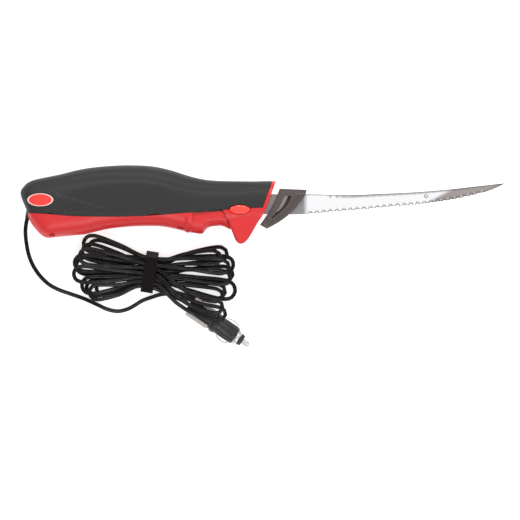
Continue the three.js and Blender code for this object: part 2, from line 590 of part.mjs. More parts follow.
function lowerHousing() {
  const guard = cushion(GUARD_OUTLINE, [-GUARD_HALF, GUARD_HALF], GUARD_ROUND, 3);
  let shell = outer.add(guard).intersect(belowParting).intersect(behindFront(0));
  // hollow behind the trigger and behind the front rim
  const bulkheadBack = TRIGGER_BAY_X - BULKHEAD;
  const hollow = inner.intersect(behindFront(RIM_DEPTH));
  shell = shell.subtract(hollow.intersect(block([REAR, bulkheadBack], through, through)));
  shell = shell.subtract(hollow.intersect(block([TRIGGER_BAY_X, FAR], through, through)));
  // open bay for the trigger
  const bay = [
    [TRIGGER_LIP_X, FAR], [guardRear[0][0] - 1, FAR], guardRear[0], guardRear[1],
    [guardRear[1][0] + 1, -FAR], [TRIGGER_LIP_X, -FAR],
  ];
  shell = shell.subtract(prism(bay, through));
  shell = shell.subtract(block([TRIGGER_BAY_X, guardRear[1][0]], [-FAR, TRIGGER_BAY_FLOOR], through));
  // front rim
  const rim = outer.intersect(behindFront(0)).subtract(behindFront(RIM_DEPTH));
  shell = shell.add(rim.intersect(block([-FAR, FAR], [RIM_FOOT[1] - RIM_LAP, FAR], through)));
  // deck between the bulkhead and the guard's cross wall, with the pin's lug and the switch shelf
  shell = shell.add(block(GUARD_WALL_X, [-FAR, DECK_Y[0] + 1], through).intersect(outer));
  shell = shell.add(block([TRIGGER_BAY_X - 1, GUARD_WALL_X[0] + 1], DECK_Y, [-DECK_HALF, DECK_HALF]));
  const [pinX, pinY] = TRIGGER_PIVOT;
  const lug = [[pinX - PIN_BOSS_R, DECK_Y[1]], [pinX - PIN_BOSS_R, pinY], [pinX, pinY - PIN_BOSS_R],
    [pinX + PIN_BOSS_R, pinY], [pinX + PIN_BOSS_R, DECK_Y[1]]];
  shell = shell.add(prism(lug, [-DECK_HALF, DECK_HALF]));
  shell = shell.subtract(rod(PIN_R + RUNNING, [pinX, pinY, -FAR], [pinX, pinY, FAR], 12));
  const shelfTop = DECK_Y[1] - SHELF_DROP;
  const shelfZ = [DECK_HALF - SHELF_LAP, switchZ[1] - SHELF_LAP];
  shell = shell.add(block(SWITCH_X, [shelfTop - SHELF, shelfTop], shelfZ));
  const plungerWay = [[PLUNGER_X, shelfTop - SHELF - 1, plungerZ], [PLUNGER_X, shelfTop + 1, plungerZ]];
  shell = shell.subtract(rod(PLUNGER_R + RUNNING, ...plungerWay, 12));
  // walls beside the sliders behind the buttons
  for (const side of [1, -1]) {
    const wallX = [GUARD_WALL_X[0], BUTTON.x + BUTTON.a];
    shell = shell.add(block(wallX, [DECK_Y[0], BUTTON.y + BUTTON.b], span(side, channelInner,
      channelOuter)));
    const stem = [[BUTTON.x, BUTTON.y, 0], [BUTTON.x, BUTTON.y, side * FAR]];
    shell = shell.subtract(rod(BUTTON_STEM_R + RUNNING, ...stem, 16));
    shell = shell.subtract(buttonHole(side));
  }
  // screw pillars
  for (const [x, z] of SCREW_PLACES) {
    const top = partingLine(x) - GAP / 2;
    shell = shell.add(rod(BOSS_R, [x, -FAR, z], [x, top, z]).intersect(lining));
  }
  for (const [x, z] of SCREW_PLACES) {
    const parting = partingLine(x);
    shell = shell.subtract(rod(SCREW_R + RUNNING, [x, parting - SCREW_SEAT - 1, z],
      [x, parting + 1, z], 12));
    shell = shell.subtract(rod(SCREW_HEAD_R + RUNNING, [x, -FAR, z], [x, parting - SCREW_SEAT, z], 16));
  }
  // motor saddle and frame seats
  const saddle = block(SADDLE_X, [-FAR, MOTOR_Y - SADDLE_GRIP],
    [-SADDLE_HALF, SADDLE_HALF]).subtract(motorRoom);
  shell = shell.add(saddle.intersect(lining));
  const seatX = [MOTOR_X[1] + SEAT_FROM_MOTOR, GEAR_X + SEAT_FROM_GEAR].map((x) => [x, x + SEAT_LENGTH]);
  for (const x of seatX) {
    const seat = block(x, [-FAR, FRAME_FLOOR - GAP], [-frameOuter, frameOuter]);
    shell = shell.add(seat.intersect(lining));
  }
  // slot for the blades
  const slotHalf = BLADE_GAP / 2 + BLADE_THICKNESS + 3 * RUNNING;
  const slotY = [EDGE_LINE[0][1] - 3 * RUNNING, SPINE_LINE[0][1] + 3 * RUNNING];
  shell = shell.subtract(block([frontX(slotY[0]) - 3 * RIM_DEPTH, FAR], slotY, [-slotHalf, slotHalf]));
  return shell.subtract(glandHole);
}

piece('upper_housing', upperHousing(), FINISH.black);
piece('lower_housing', lowerHousing(), FINISH.red);

SCREW_PLACES.forEach(([x, z], i) => {
  const parting = partingLine(x);
  const seat = parting - SCREW_SEAT - GAP;
  const head = rod(SCREW_HEAD_R, [x, seat - SCREW_HEAD, z], [x, seat, z], 16);
  const shank = rod(SCREW_R, [x, seat - SCREW_HEAD / 2, z], [x, parting + SCREW_BITE, z], 12);
  piece(`housing_screw_${i + 1}`, head.add(shank), FINISH.steel);
});

function badge(side) {
  const plate = prism(oval(BADGE, 0), span(side, GAP, FAR)).intersect(casing(-BADGE.proud, SECTION_SIDES));
  return plate.subtract(casing(BADGE.thickness - BADGE.proud, SECTION_SIDES));
}
piece('badge_right', badge(1), FINISH.red);
piece('badge_left', badge(-1), FINISH.red);

// Release buttons with their springs
function releaseButton(side) {
  const cap = cushion(oval(BUTTON, 0), span(side, BUTTON.back, BUTTON.crown), BUTTON.round, 2);
  const flange = prism(oval(BUTTON, BUTTON.flange), span(side, BUTTON.back, BUTTON.back + BUTTON.rim));
  const tip = side * (sliderOuter + GAP + BUTTON_TRAVEL);
  const stem = rod(BUTTON_STEM_R, [BUTTON.x, BUTTON.y, tip], [BUTTON.x, BUTTON.y,
    side * (BUTTON.back + 1)]);
  return cap.add(flange).add(stem);
}
function releaseSpring(side) {
  const reach = span(side, channelOuter + GAP, BUTTON.back - GAP);
  const bore = BUTTON_STEM_R + RUNNING;
  const centre = [BUTTON.x, BUTTON.y];
  return prism(circle(bore + SPRING_WIRE, 14, centre), reach, [circle(bore, 14, centre)]);
}
for (const [side, word] of [[1, 'right'], [-1, 'left']]) {
  piece(`release_button_${word}`, releaseButton(side), FINISH.orange);
  piece(`release_spring_${word}`, releaseSpring(side), FINISH.steel);
}

// Motor
const motorAxis = [MOTOR_Y, 0];
const canBore = MOTOR_R - CAN_WALL;
const screwPlaces = [MOTOR_Y + FRAME_SCREW_PCR, MOTOR_Y - FRAME_SCREW_PCR];
const frameBack = MOTOR_X[1] + GAP;
const frameFace = frameBack + FRAME_PLATE;
const frameScrewTip = MOTOR_X[1] - 2 * CAN_WALL;
const screwWays = (body) =>
  screwPlaces.reduce(
    (rest, y) => rest.subtract(rod(SCREW_R + RUNNING, [frameScrewTip - 1, y, 0],
      [frameFace + 1, y, 0], 12)),
    body,
  );
const canEnd = MOTOR_X[1] - CAN_WALL;
const can = turned(
  [[MOTOR_X[0], canBore], [MOTOR_X[0], MOTOR_R], [MOTOR_X[1], MOTOR_R], [MOTOR_X[1], SHAFT_R + RUNNING],
    [canEnd, SHAFT_R + RUNNING], [canEnd, canBore]],
  motorAxis,
  24,
);
piece('motor_can', screwWays(can), FINISH.steel);
const capR = canBore - GAP;
const capBack = MOTOR_X[0] - CAP_THICKNESS / 2;
piece(
  'motor_end_cap',
  turned([[capBack, SHAFT_R + RUNNING], [capBack, capR], [capBack + CAP_THICKNESS, capR],
    [capBack + CAP_THICKNESS, SHAFT_R + RUNNING]], motorAxis),
  FINISH.nylon,
);
function magnet(centre) {
  const outside = canBore - GAP;
  const inside = outside - MAGNET_THICKNESS;
  const steps = 8;
  const arc = (r, back) =>
    Array.from({ length: steps + 1 }, (_, i) => {
      const angle = centre + (back ? 1 : -1) * MAGNET_SPREAD * (1 - (2 * i) / steps);
      return [r * Math.cos(angle), r * Math.sin(angle)];
    });
  const geometry = new THREE.ExtrudeGeometry(new THREE.Shape([...arc(outside, false), ...arc(inside,
    true)].map(V2)), {
    depth: COIL_X[1] - COIL_X[0],
    bevelEnabled: false,
  });
  geometry.rotateY(Math.PI / 2);
  geometry.translate(COIL_X[0], MOTOR_Y, 0);
  return solid(geometry);
}
piece('motor_magnet_upper', magnet(Math.PI / 2), FINISH.steel);
piece('motor_magnet_lower', magnet(-Math.PI / 2), FINISH.steel);
const sleeve = SHAFT_R + GAP;
piece(
  'motor_armature',
  turned([[COIL_X[0], sleeve], [COIL_X[0], ARMATURE_R], [COIL_X[1], ARMATURE_R],
    [COIL_X[1], sleeve]], motorAxis),
  FINISH.copper,
);
piece('motor_shaft', rod(SHAFT_R, [capBack - 1, MOTOR_Y, 0], [FRAME_FRONT - GAP, MOTOR_Y, 0], 12),
  FINISH.steel);

// Worm: a ridge that climbs one pitch a turn
const wormPitch = Math.PI * MODULE_SIZE;
function toothHeight(distance, tip, root) {
  const low = TOOTH_ROOT / 2;
  const high = TOOTH_TIP / 2;
  return root + (tip - root) * Math.min(Math.max((low - distance) / (low - high), 0), 1);
}
function worm() {
  const sides = 10;
  const steps = Math.round((6 * WORM_LENGTH) / wormPitch);
  const rings = Array.from({ length: steps + 1 }, (_, k) => {
    const x = GEAR_X - WORM_LENGTH / 2 + (k * WORM_LENGTH) / steps;
    return Array.from({ length: sides }, (_, i) => {
      const angle = (2 * Math.PI * i) / sides;
      const turns = (x - GEAR_X) / wormPitch - (angle - Math.PI) / (2 * Math.PI);
      const distance = Math.abs(turns - Math.floor(turns) - 0.5) * wormPitch;
      const r = toothHeight(distance, WORM_PITCH_R + WORM_TIP, WORM_PITCH_R - WORM_ROOT);
      return new THREE.Vector3(x, wormY + r * Math.cos(angle), r * Math.sin(angle));
    });
  });
  const bore = rod(sleeve, [GEAR_X - WORM_LENGTH, wormY, 0], [GEAR_X + WORM_LENGTH, wormY, 0], 12);
  return loft(rings).subtract(bore);
}
piece('worm', worm(), FINISH.steel);

// Gear with an eccentric on each face, half a turn apart
function wormGear() {
  const lean = wormPitch / (2 * Math.PI * WORM_PITCH_R) / gearR;
  const corners = [[-TOOTH_ROOT, -GEAR_ROOT], [-TOOTH_TIP, GEAR_TIP], [TOOTH_TIP, GEAR_TIP],
    [TOOTH_ROOT, -GEAR_ROOT]];
  const rings = [-GEAR_HALF, GEAR_HALF].map((z) =>
    Array.from({ length: GEAR_TEETH }, (_, k) =>
      corners.map(([width, height]) => {
        const r = gearR + height;
        const angle = Math.PI / 2 + (2 * Math.PI * k) / GEAR_TEETH + width / 2 / r + lean * z;
        return new THREE.Vector3(GEAR_X + r * Math.cos(angle), gearY + r * Math.sin(angle), z);
      }),
    ).flat(),
  );
  let gear = loft(rings);
  for (const side of [1, -1]) {
    const cam = circle(CAM_R, 20, [GEAR_X, gearY + side * STROKE]);
    gear = gear.add(prism(cam, span(side, GEAR_HALF - CAM_STEP, sliderOuter - CAM_STEP)));
  }
  return gear.subtract(rod(AXLE_R + RUNNING, [GEAR_X, gearY, -FAR], [GEAR_X, gearY, FAR], 14));
}
piece('worm_gear', wormGear(), FINISH.nylon);
const axle = rod(AXLE_R, [GEAR_X, gearY, -frameOuter - 1], [GEAR_X, gearY,
  frameOuter + GAP + AXLE_HEAD / 2], 14);
const axleHead = [[GEAR_X, gearY, frameOuter + GAP], [GEAR_X, gearY, frameOuter + GAP + AXLE_HEAD]];
piece('gear_axle', axle.add(rod(AXLE_HEAD_R, ...axleHead, 16)), FINISH.steel);

// Frame: motor plate, two cheeks and the front bush's housing
function driveFrame() {
  const everywhere = [-frameOuter, frameOuter];
  const deckClear = TRIGGER_BAY_X - BULKHEAD - 3 * GAP;
  const waist = FRAME_WAIST.map((off) => gearY + off);
  const bushBack = FRAME_FRONT - BUSH_LENGTH;
  let frame = block([frameBack, frameFace], [waist[0], FRAME_TOP], [-FRAME_HALF, FRAME_HALF]);
  const cheek = [
    [frameBack, FRAME_FLOOR], [deckClear - FRAME_TOE, FRAME_FLOOR], [deckClear, waist[0]],
    [FRAME_FRONT, waist[0]], [FRAME_FRONT, BUSH_HOUSING[1]], [bushBack - FRAME_STEP[0], BUSH_HOUSING[1]],
    [bushBack - FRAME_STEP[1], waist[1]], [frameBack, waist[1]],
  ];
  for (const side of [1, -1]) frame = frame.add(prism(cheek, span(side, frameInner, frameOuter)));
  frame = frame.add(block([bushBack, FRAME_FRONT], BUSH_HOUSING, everywhere));
  frame = frame.subtract(rod(BUSH_R + GAP, [bushBack - 1, wormY, 0], [FAR, wormY, 0], 20));
  frame = frame.subtract(rod(WORM_PITCH_R, [frameBack - 1, wormY, 0], [frameFace + 1, wormY, 0], 20));
  frame = frame.subtract(rod(AXLE_R + RUNNING, [GEAR_X, gearY, -FAR], [GEAR_X, gearY, FAR], 14));
  return screwWays(frame);
}
piece('drive_frame', driveFrame(), FINISH.steel);
piece(
  'worm_bush',
  turned(
    [[FRAME_FRONT - BUSH_LENGTH, SHAFT_R + RUNNING], [FRAME_FRONT - BUSH_LENGTH, BUSH_R],
    [FRAME_FRONT, BUSH_R], [FRAME_FRONT, SHAFT_R + RUNNING]],
    motorAxis,
    20,
  ),
  FINISH.brass,
);
screwPlaces.forEach((y, i) => {
  const seat = frameFace + GAP;
  const head = rod(SCREW_HEAD_R, [seat, y, 0], [seat + SCREW_HEAD, y, 0], 16);
  const shank = rod(SCREW_R, [frameScrewTip, y, 0], [seat + SCREW_HEAD / 2, y, 0], 12);
  piece(i ? 'frame_screw_lower' : 'frame_screw_upper', head.add(shank), FINISH.steel);
});

// Sliders: a fork round the eccentric, a bar through the guide and a thick end with the tang's stud
const forkHalf = CAM_R + CAM_PLAY;
function slider(side) {
  const forkFloor = gearY - CAM_R - STROKE - RUNNING;
  const [back, front] = [GEAR_X - forkHalf - FORK_WALL, GEAR_X + forkHalf + FORK_WALL];
  const top = gearY + FORK_TOP;
  const outline = [
    [back, forkFloor - FORK_FLOOR], [front, forkFloor - FORK_FLOOR], [front, SLIDER_Y[0]],
    [SLIDER_FRONT, SLIDER_Y[0]], [SLIDER_FRONT, SLIDER_Y[1]], [front, SLIDER_Y[1]], [front, top],
    [front - FORK_WALL, top],
    [front - FORK_WALL, forkFloor], [back + FORK_WALL, forkFloor], [back + FORK_WALL, top], [back, top],
  ];
  const bar = prism(outline, span(side, sliderInner, sliderOuter));
  const nose = block([SLIDER_FRONT - SLIDER_NOSE, SLIDER_FRONT], SLIDER_Y, span(side, cheekInner,
    sliderOuter));
  const stud = rod(STUD_R, [STUD_X, STUD_Y, side * GAP], [STUD_X, STUD_Y, side * (cheekInner + 1)]);
  return bar.add(nose).add(stud);
}
piece('slider_right', slider(1), FINISH.nylon);
piece('slider_left', slider(-1), FINISH.nylon);
function sliderGuide() {
  let guide = block(GUIDE_X, GUIDE_Y, [-frameOuter, frameOuter]);
  const slotY = [SLIDER_Y[0] - RUNNING, SLIDER_Y[1] + RUNNING];
  for (const side of [1, -1]) {
    const slotZ = span(side, sliderInner - RUNNING, sliderOuter + RUNNING);
    guide = guide.subtract(block([GUIDE_X[0] - 1, GUIDE_X[1] + 1], slotY, slotZ));
  }
  // room for the switch where a slim casing brings it up to the guide
  const switchRoom = block([SWITCH_X[0] - GAP, SWITCH_X[1] + GAP],
    [switchFoot - GAP, switchFoot + SWITCH_HEIGHT + GAP], [switchZ[0] - SWITCH_CLEAR, FAR]);
  return guide.subtract(switchRoom);
}
piece('slider_guide', sliderGuide(), FINISH.nylon);

// Trigger: a trough that rises into the upper shell, hung on the pin by two ears
function triggerRing(x, inset) {
  const rim = partingLine(x) + TRIGGER_RISE + inset;
  const shoulder = partingLine(x) - TRIGGER_SHOULDER;
  const half = triggerHalf(x) - inset;
  const depth = shoulder - smoothLine(TRIGGER_LINE)(x) - inset;
  const steps = 10;
  const under = Array.from({ length: steps + 1 }, (_, i) => {
    const angle = (Math.PI * i) / steps;
    return new THREE.Vector3(x, shoulder - depth * bulge(Math.sin(angle)), half * bulge(Math.cos(angle)));
  });
  return [new THREE.Vector3(x, rim, half), ...under, new THREE.Vector3(x, rim, -half)];
}
function trigger() {
  const [pinX, pinY] = TRIGGER_PIVOT;
  const ends = [TRIGGER_STATIONS[0], TRIGGER_STATIONS.at(-1)];
  let shell = loft(TRIGGER_STATIONS.map((x) => triggerRing(x, 0)));
  const trough = loft(TRIGGER_STATIONS.map((x) => triggerRing(x, TRIGGER_WALL)));
  shell = shell.subtract(trough.intersect(block([ends[0] + TRIGGER_WALL + TRIGGER_LEAN, ends[1]],
    through, through)));
  // notch over the deck, ears for the pin, a post under the switch
  const notchHalf = DECK_HALF + 3 * GAP;
  shell = shell.subtract(block([-FAR, pinX], [DECK_Y[0] - 4 * GAP, FAR], [-notchHalf, notchHalf]));
  for (const side of [1, -1]) {
    const earZ = span(side, DECK_HALF + RUNNING, DECK_HALF + RUNNING + EAR_THICKNESS);
    const ear = block([pinX - PIN_BOSS_R, pinX + PIN_BOSS_R], [-FAR, pinY + PIN_BOSS_R], earZ);
    shell = shell.add(ear.intersect(loft(TRIGGER_STATIONS.map((x) => triggerRing(x, TRIGGER_WALL / 2)))));
  }
  const postTop = DECK_Y[1] - PLUNGER_REACH - GAP;
  const post = block([PLUNGER_X - POST_HALF, PLUNGER_X + POST_HALF], [-FAR, postTop],
    [plungerZ - POST_HALF, plungerZ + POST_HALF]);
  shell = shell.add(post.intersect(loft(TRIGGER_STATIONS.map((x) => triggerRing(x, TRIGGER_WALL / 2)))));
  shell = shell.subtract(rod(PIN_R + RUNNING, [pinX, pinY, -FAR], [pinX, pinY, FAR], 12));
  // rear leans away from the bulkhead, front follows the guard's slant and runs inside its walls higher up
  const [rearTop, frontTop] = guardRear;
  const tongue = TRIGGER_TONGUE.map(([x, y]) => [rearTop[0] + x, rearTop[1] + y]);
  const keep = [
    [ends[0], -FAR], [ends[0], TRIGGER_REAR_TOP], [ends[0] + TRIGGER_LEAN, tongue[1][1]],
    [ends[0] + TRIGGER_LEAN, tongue[0][1]], ...tongue, [frontTop[0] - TRIGGER_FRONT_PLAY, frontTop[1]],
    [frontTop[0] - TRIGGER_FRONT_PLAY, -FAR],
  ];
  const lipX = TRIGGER_LIP_X + GAP;
  const parted = (x) => partingLine(x) - 2 * GAP;
  const bay = [
    [ends[0], -FAR], [ends[0], TRIGGER_BAY_FLOOR - GAP], [lipX, TRIGGER_BAY_FLOOR - GAP],
    [lipX, parted(lipX)], [rearTop[0] - TRIGGER_FRONT_PLAY, parted(rearTop[0])],
    [frontTop[0] - TRIGGER_FRONT_PLAY, frontTop[1]], [frontTop[0] - TRIGGER_FRONT_PLAY, -FAR],
  ];
  const room = casing(CASING_WALL + TRIGGER_SIDE_PLAY / 2, HOLLOW_SIDES).add(prism(bay, through));
  const aboutPin = room.translate([-pinX, -pinY, 0]).rotate([0, 0, -TRIGGER_PULL]);
  const pulledRoom = aboutPin.translate([pinX, pinY, 0]);
  return shell.intersect(prism(keep, through)).intersect(room).intersect(pulledRoom);
}
piece('trigger', trigger(), FINISH.red);
const earOuter = DECK_HALF + RUNNING + EAR_THICKNESS;
const pinEnds = [-earOuter - 1, earOuter + 1].map((z) => [...TRIGGER_PIVOT, z]);
piece('trigger_pin', rod(PIN_R, ...pinEnds, 12), FINISH.steel);
function triggerSpring() {
  const low = smoothLine(TRIGGER_LINE)(TRIGGER_SPRING_X) + TRIGGER_WALL + 2 * GAP;
  const spring = rod(TRIGGER_SPRING_R, [TRIGGER_SPRING_X, low, 0],
    [TRIGGER_SPRING_X, DECK_Y[0] - GAP, 0], 14);
  return spring.subtract(rod(TRIGGER_SPRING_R - SPRING_WIRE, [TRIGGER_SPRING_X, -FAR, 0],
    [TRIGGER_SPRING_X, FAR, 0], 14));
}
piece('trigger_spring', triggerSpring(), FINISH.steel);
const plungerAt = (y) => [PLUNGER_X, y, plungerZ];
const switchBody = block(SWITCH_X, [switchFoot, switchFoot + SWITCH_HEIGHT], switchZ);
const switchPocket = rod(PLUNGER_R + RUNNING, plungerAt(-FAR), plungerAt(switchFoot + PLUNGER_DEPTH), 12);
piece('switch_body', switchBody.subtract(switchPocket), FINISH.black);
const plungerTop = switchFoot + PLUNGER_DEPTH / 2;
piece('switch_plunger', rod(PLUNGER_R, plungerAt(DECK_Y[1] - PLUNGER_REACH), plungerAt(plungerTop),
  12), FINISH.nylon);

// Blades: a row of one broad hollow and two small ones to each tooth length
function bladeOutline() {
  const spine = smoothLine(SPINE_LINE);
  const edge = smoothLine(EDGE_LINE);
  const teeth = [];
  const hollows = [[0, 0], [0.15, 0.85], [0.45, 0.85], [0.6, 0], [0.8, 0.4]];
  for (let k = 0; k < TEETH; k++) {
    for (const [share, depth] of hollows) {
      const x = BLADE_HEEL + 1 + (k + share) * TOOTH_LENGTH;
      teeth.push([x, edge(x) + depth * TOOTH_DEPTH]);
    }
  }
  const toothEnd = teeth.at(-1)[0] + 1;
  const along = (line, from, to, steps) =>
    Array.from({ length: steps + 1 }, (_, i) => {
      const x = from + ((to - from) * i) / steps;
      return [x, line(x)];
    });
  const tip = SPINE_LINE.at(-1)[0];
  return [
    [TANG_BACK, TANG_Y[0]], [TANG_FRONT, TANG_Y[0]], [TANG_FRONT, EDGE_LINE[0][1]], ...teeth,
    ...along(edge, toothEnd, tip, 8), ...along(spine, tip, TANG_FRONT, 16), [TANG_FRONT, TANG_Y[1]],
    [TANG_BACK, TANG_Y[1]],
  ];
}
const bladeZ = (side) => span(side, BLADE_GAP / 2, BLADE_GAP / 2 + BLADE_THICKNESS);
const studHole = circle(STUD_R + GAP, 16, [STUD_X, STUD_Y]);
const rivetHole = circle(RIVET_R + GAP, 12, [RIVET_X, RIVET_Y]);
const slotReach = 2 * STROKE + RIVET_R + GAP;
const rivetSlot = [
  [RIVET_X - slotReach, RIVET_Y - RIVET_R - GAP], [RIVET_X + slotReach, RIVET_Y - RIVET_R - GAP],
  [RIVET_X + slotReach, RIVET_Y + RIVET_R + GAP], [RIVET_X - slotReach, RIVET_Y + RIVET_R + GAP],
];
piece('blade_right', prism(bladeOutline(), bladeZ(1), [studHole, rivetHole]), FINISH.blade);
piece('blade_left', prism(bladeOutline(), bladeZ(-1), [studHole, rivetSlot]), FINISH.blade);
const rivetFace = BLADE_GAP / 2 + BLADE_THICKNESS + GAP;
const rivetAt = (z) => [RIVET_X, RIVET_Y, z];
const rivet = [1, -1].reduce(
  (body, side) => body.add(rod(RIVET_HEAD_R, rivetAt(side * rivetFace),
    rivetAt(side * (rivetFace + RIVET_HEAD)), 16)),
  rod(RIVET_R, rivetAt(-rivetFace - RIVET_HEAD / 2), rivetAt(rivetFace + RIVET_HEAD / 2), 12),
);
piece('blade_rivet', rivet, FINISH.steel);

function bladeGuard(side) {
  const body = prism(COLLAR_OUTLINE, span(side, BLADE_GAP, COLLAR_HALF), [COLLAR_WINDOW]);
  const seat = [[-FAR, EDGE_LINE[0][1] - GAP], [FAR, EDGE_LINE[0][1] - GAP],
    [FAR, SPINE_LINE[0][1] + GAP], [-FAR, SPINE_LINE[0][1] + GAP]];
  return body.subtract(prism(seat, span(side, 0, BLADE_GAP / 2 + BLADE_THICKNESS + GAP)));
}
piece('blade_guard_right', bladeGuard(1), FINISH.guard);
piece('blade_guard_left', bladeGuard(-1), FINISH.guard);

// Wires from the gland to the switch and from the switch to the motor
const switchTop = switchFoot + SWITCH_HEIGHT + GAP;
const inCasing = (route) => route.map(([x, y, inset]) => [x, y, CASING_HALF - inset]);
const supplyEnds = [glandPoint(-GLAND.inside - GAP), [SWITCH_X[0] + WIRE_INSET, switchTop, plungerZ]];
piece('supply_wire', wire(WIRE_R, [supplyEnds[0], ...inCasing(SUPPLY_ROUTE), supplyEnds[1]], 32), FINISH.red);
const motorWireEnds = [[SWITCH_X[1] - WIRE_INSET, switchTop, plungerZ],
  [capBack - GAP, MOTOR_Y, MOTOR_LUG]];
const motorWire = [motorWireEnds[0], ...inCasing(MOTOR_ROUTE), motorWireEnds[1]];
piece('motor_wire', wire(WIRE_R, motorWire, 30), FINISH.black);
piece('cord_gland', rod(GLAND.r, glandPoint(-GLAND.inside), glandPoint(GLAND.outside), 16), FINISH.black);

// Cord section, flat side down
const halfThick = CORD_THICKNESS / 2;
const halfWide = CORD_WIDTH / 2;
const flatSection = [
  [halfWide, halfThick / 2], [halfWide / 2, halfThick], [-halfWide / 2, halfThick],
  [-halfWide, halfThick / 2], [-halfWide, -halfThick / 2], [-halfWide / 2, -halfThick],
  [halfWide / 2, -halfThick], [halfWide, -halfThick / 2],
];
const strandSection = [
  [halfWide, 0], [halfWide / 2, halfThick], [-halfWide / 2, halfThick], [-halfWide, 0],
  [-halfWide / 2, -halfThick], [halfWide / 2, -halfThick],
];

// Hank: loops that spiral in and out in layers, drawn in alike at the waist
const hankTurn = THREE.MathUtils.degToRad(HANK.turn);
const hankPlace = (u, v, z) => [
  HANK.x + u * Math.cos(hankTurn) - v * Math.sin(hankTurn),
  HANK.y + u * Math.sin(hankTurn) + v * Math.cos(hankTurn),
  z,
];
const layerLoops = HANK_LOOPS / HANK_LAYERS;
function layerAt(turns) {
  let layer = 0;
  for (let k = 1; k < HANK_LAYERS; k++) layer += smoothStep((turns - k * layerLoops + 0.25) / 0.5);
  return layer;
}
// each lobe keeps one layer's shape from the waist round to the waist
function lobeLayer(turns) {
  const visit = Math.floor(2 * turns) / 2 + 0.25;
  return Math.min(Math.floor(visit / layerLoops), HANK_LAYERS - 1);
}
// the waist lies on the strap, the lobes on the table
const lift = (u) => (TIE_THICKNESS + GAP) * (1 - smoothStep((Math.abs(u) - TIE_WIDTH) / (3 * TIE_WIDTH)));
function hankPoint(turns) {
  const t = Math.min(turns, HANK_LOOPS);
  const phase = t / layerLoops;
  const fold = Math.floor(phase) % 2 ? 1 - (phase % 1) : phase % 1;
  const depth = t === HANK_LOOPS ? 0 : fold * layerLoops;
  const angle = 2 * Math.PI * t - Math.PI / 2;
  const lobe = lobeLayer(t);
  const past = turns - t;
  const lean = THREE.MathUtils.degToRad(RUN_LEAN);
  const reach = LOOP_REACH - STRAND_PITCH * depth;
  const u = reach * Math.cos(angle) + HANK_SHIFT * Math.cos(angle) ** 2 + past * Math.cos(lean);
  const swell = (LOOP_SWELL[lobe] - SWELL_STEP[lobe] * depth) * Math.cos(angle) ** 2;
  const open = 1 - Math.exp(-((u / TIE_WIDTH) ** 2) / 2);
  const fan = (u > 0 ? FAN_RIGHT : FAN_LEFT)[lobe] * Math.abs(u) * open;
  const v = Math.sin(angle) * (LOOP_WAIST - STRAND_PITCH * depth + swell) + fan - past * Math.sin(lean);
  return V3(hankPlace(u, v, halfThick + lift(u) + layerAt(t) * LAYER_RISE));
}
const joinPoint = hankPoint(HANK_START);
const joinHeading = hankPoint(HANK_START + 0.004).sub(joinPoint).normalize();
const beforeHank = (back) => joinPoint.clone().addScaledVector(joinHeading, -back);
function hank() {
  const turns = [];
  for (let k = 1; k <= HANK_LOOPS * LOOP_STEPS; k++) turns.push(k / LOOP_STEPS);
  turns[0] = HANK_START;
  turns.push(HANK_LOOPS + HANK_RUN / 2, HANK_LOOPS + HANK_RUN);
  const rings = ribbonRings(strandSection, [beforeHank(CORD_WIDTH), ...turns.map(hankPoint)]);
  console.log(`least gap between the hank's strands: ${leastGap(rings).toFixed(2)} mm`);
  return loft(rings);
}
// Least distance between points on strands more than a few steps apart along the cord
function leastGap(rings) {
  const points = [];
  for (let r = 0; r < rings.length - 1; r++) {
    for (let part = 0; part < 4; part++) {
      rings[r].forEach((p, i) => {
        const a = p.clone().lerp(rings[r + 1][i], part / 4);
        const next = (i + 1) % rings[r].length;
        const b = rings[r][next].clone().lerp(rings[r + 1][next], part / 4);
        for (const share of [0, 0.5]) points.push([r, a.clone().lerp(b, share)]);
      });
    }
  }
  let least = Infinity;
  for (let i = 0; i < points.length; i++) {
    for (let j = i + 1; j < points.length; j++) {
      if (points[j][0] - points[i][0] < LOOP_STEPS / 4) continue;
      least = Math.min(least, points[i][1].distanceToSquared(points[j][1]));
    }
  }
  return Math.sqrt(least);
}
piece('cord_hank', hank(), FINISH.cord, fishKnife);

const strandLevel = (layer) => halfThick + TIE_THICKNESS + GAP + layer * LAYER_RISE;
const leadStart = [...glandPoint(GLAND.outside + GAP).slice(0, 2), CASING_HALF];
const leadEnd = [2 * CORD_WIDTH + GAP, CORD_WIDTH + GAP].map((back) => beforeHank(back).toArray());
piece('cord_lead', ribbon(flatSection, [leadStart, ...LEAD_ROUTE, ...leadEnd], 40), FINISH.cord, fishKnife);

function cordTie() {
  const half = LOOP_WAIST + halfWide + TIE_ROOM;
  const top = strandLevel(HANK_LAYERS - 1) + halfThick + GAP;
  const frame = (grow, round) => {
    const [w, low, high] = [half + grow, TIE_THICKNESS - grow, top + grow];
    const corner = (v, z, from) =>
      Array.from({ length: 4 }, (_, i) => {
        const angle = from + (i * Math.PI) / 6;
        return [v + round * Math.cos(angle), z + round * Math.sin(angle)];
      });
    return [
      ...corner(w - round, high - round, 0), ...corner(round - w, high - round, Math.PI / 2),
      ...corner(round - w, low + round, Math.PI), ...corner(w - round, low + round, 1.5 * Math.PI),
    ];
  };
  const shape = new THREE.Shape(frame(TIE_THICKNESS, TIE_ROUND).map(V2));
  shape.holes = [new THREE.Path(frame(0, TIE_ROUND - TIE_THICKNESS).map(V2))];
  const geometry = new THREE.ExtrudeGeometry(shape, { depth: TIE_WIDTH, bevelEnabled: false });
  geometry.translate(0, 0, -TIE_WIDTH / 2);
  geometry.rotateX(Math.PI / 2);
  geometry.rotateZ(Math.PI / 2);
  geometry.rotateZ(hankTurn);
  geometry.translate(HANK.x, HANK.y, 0);
  return solid(geometry);
}
piece('cord_tie', cordTie(), FINISH.strap, fishKnife);

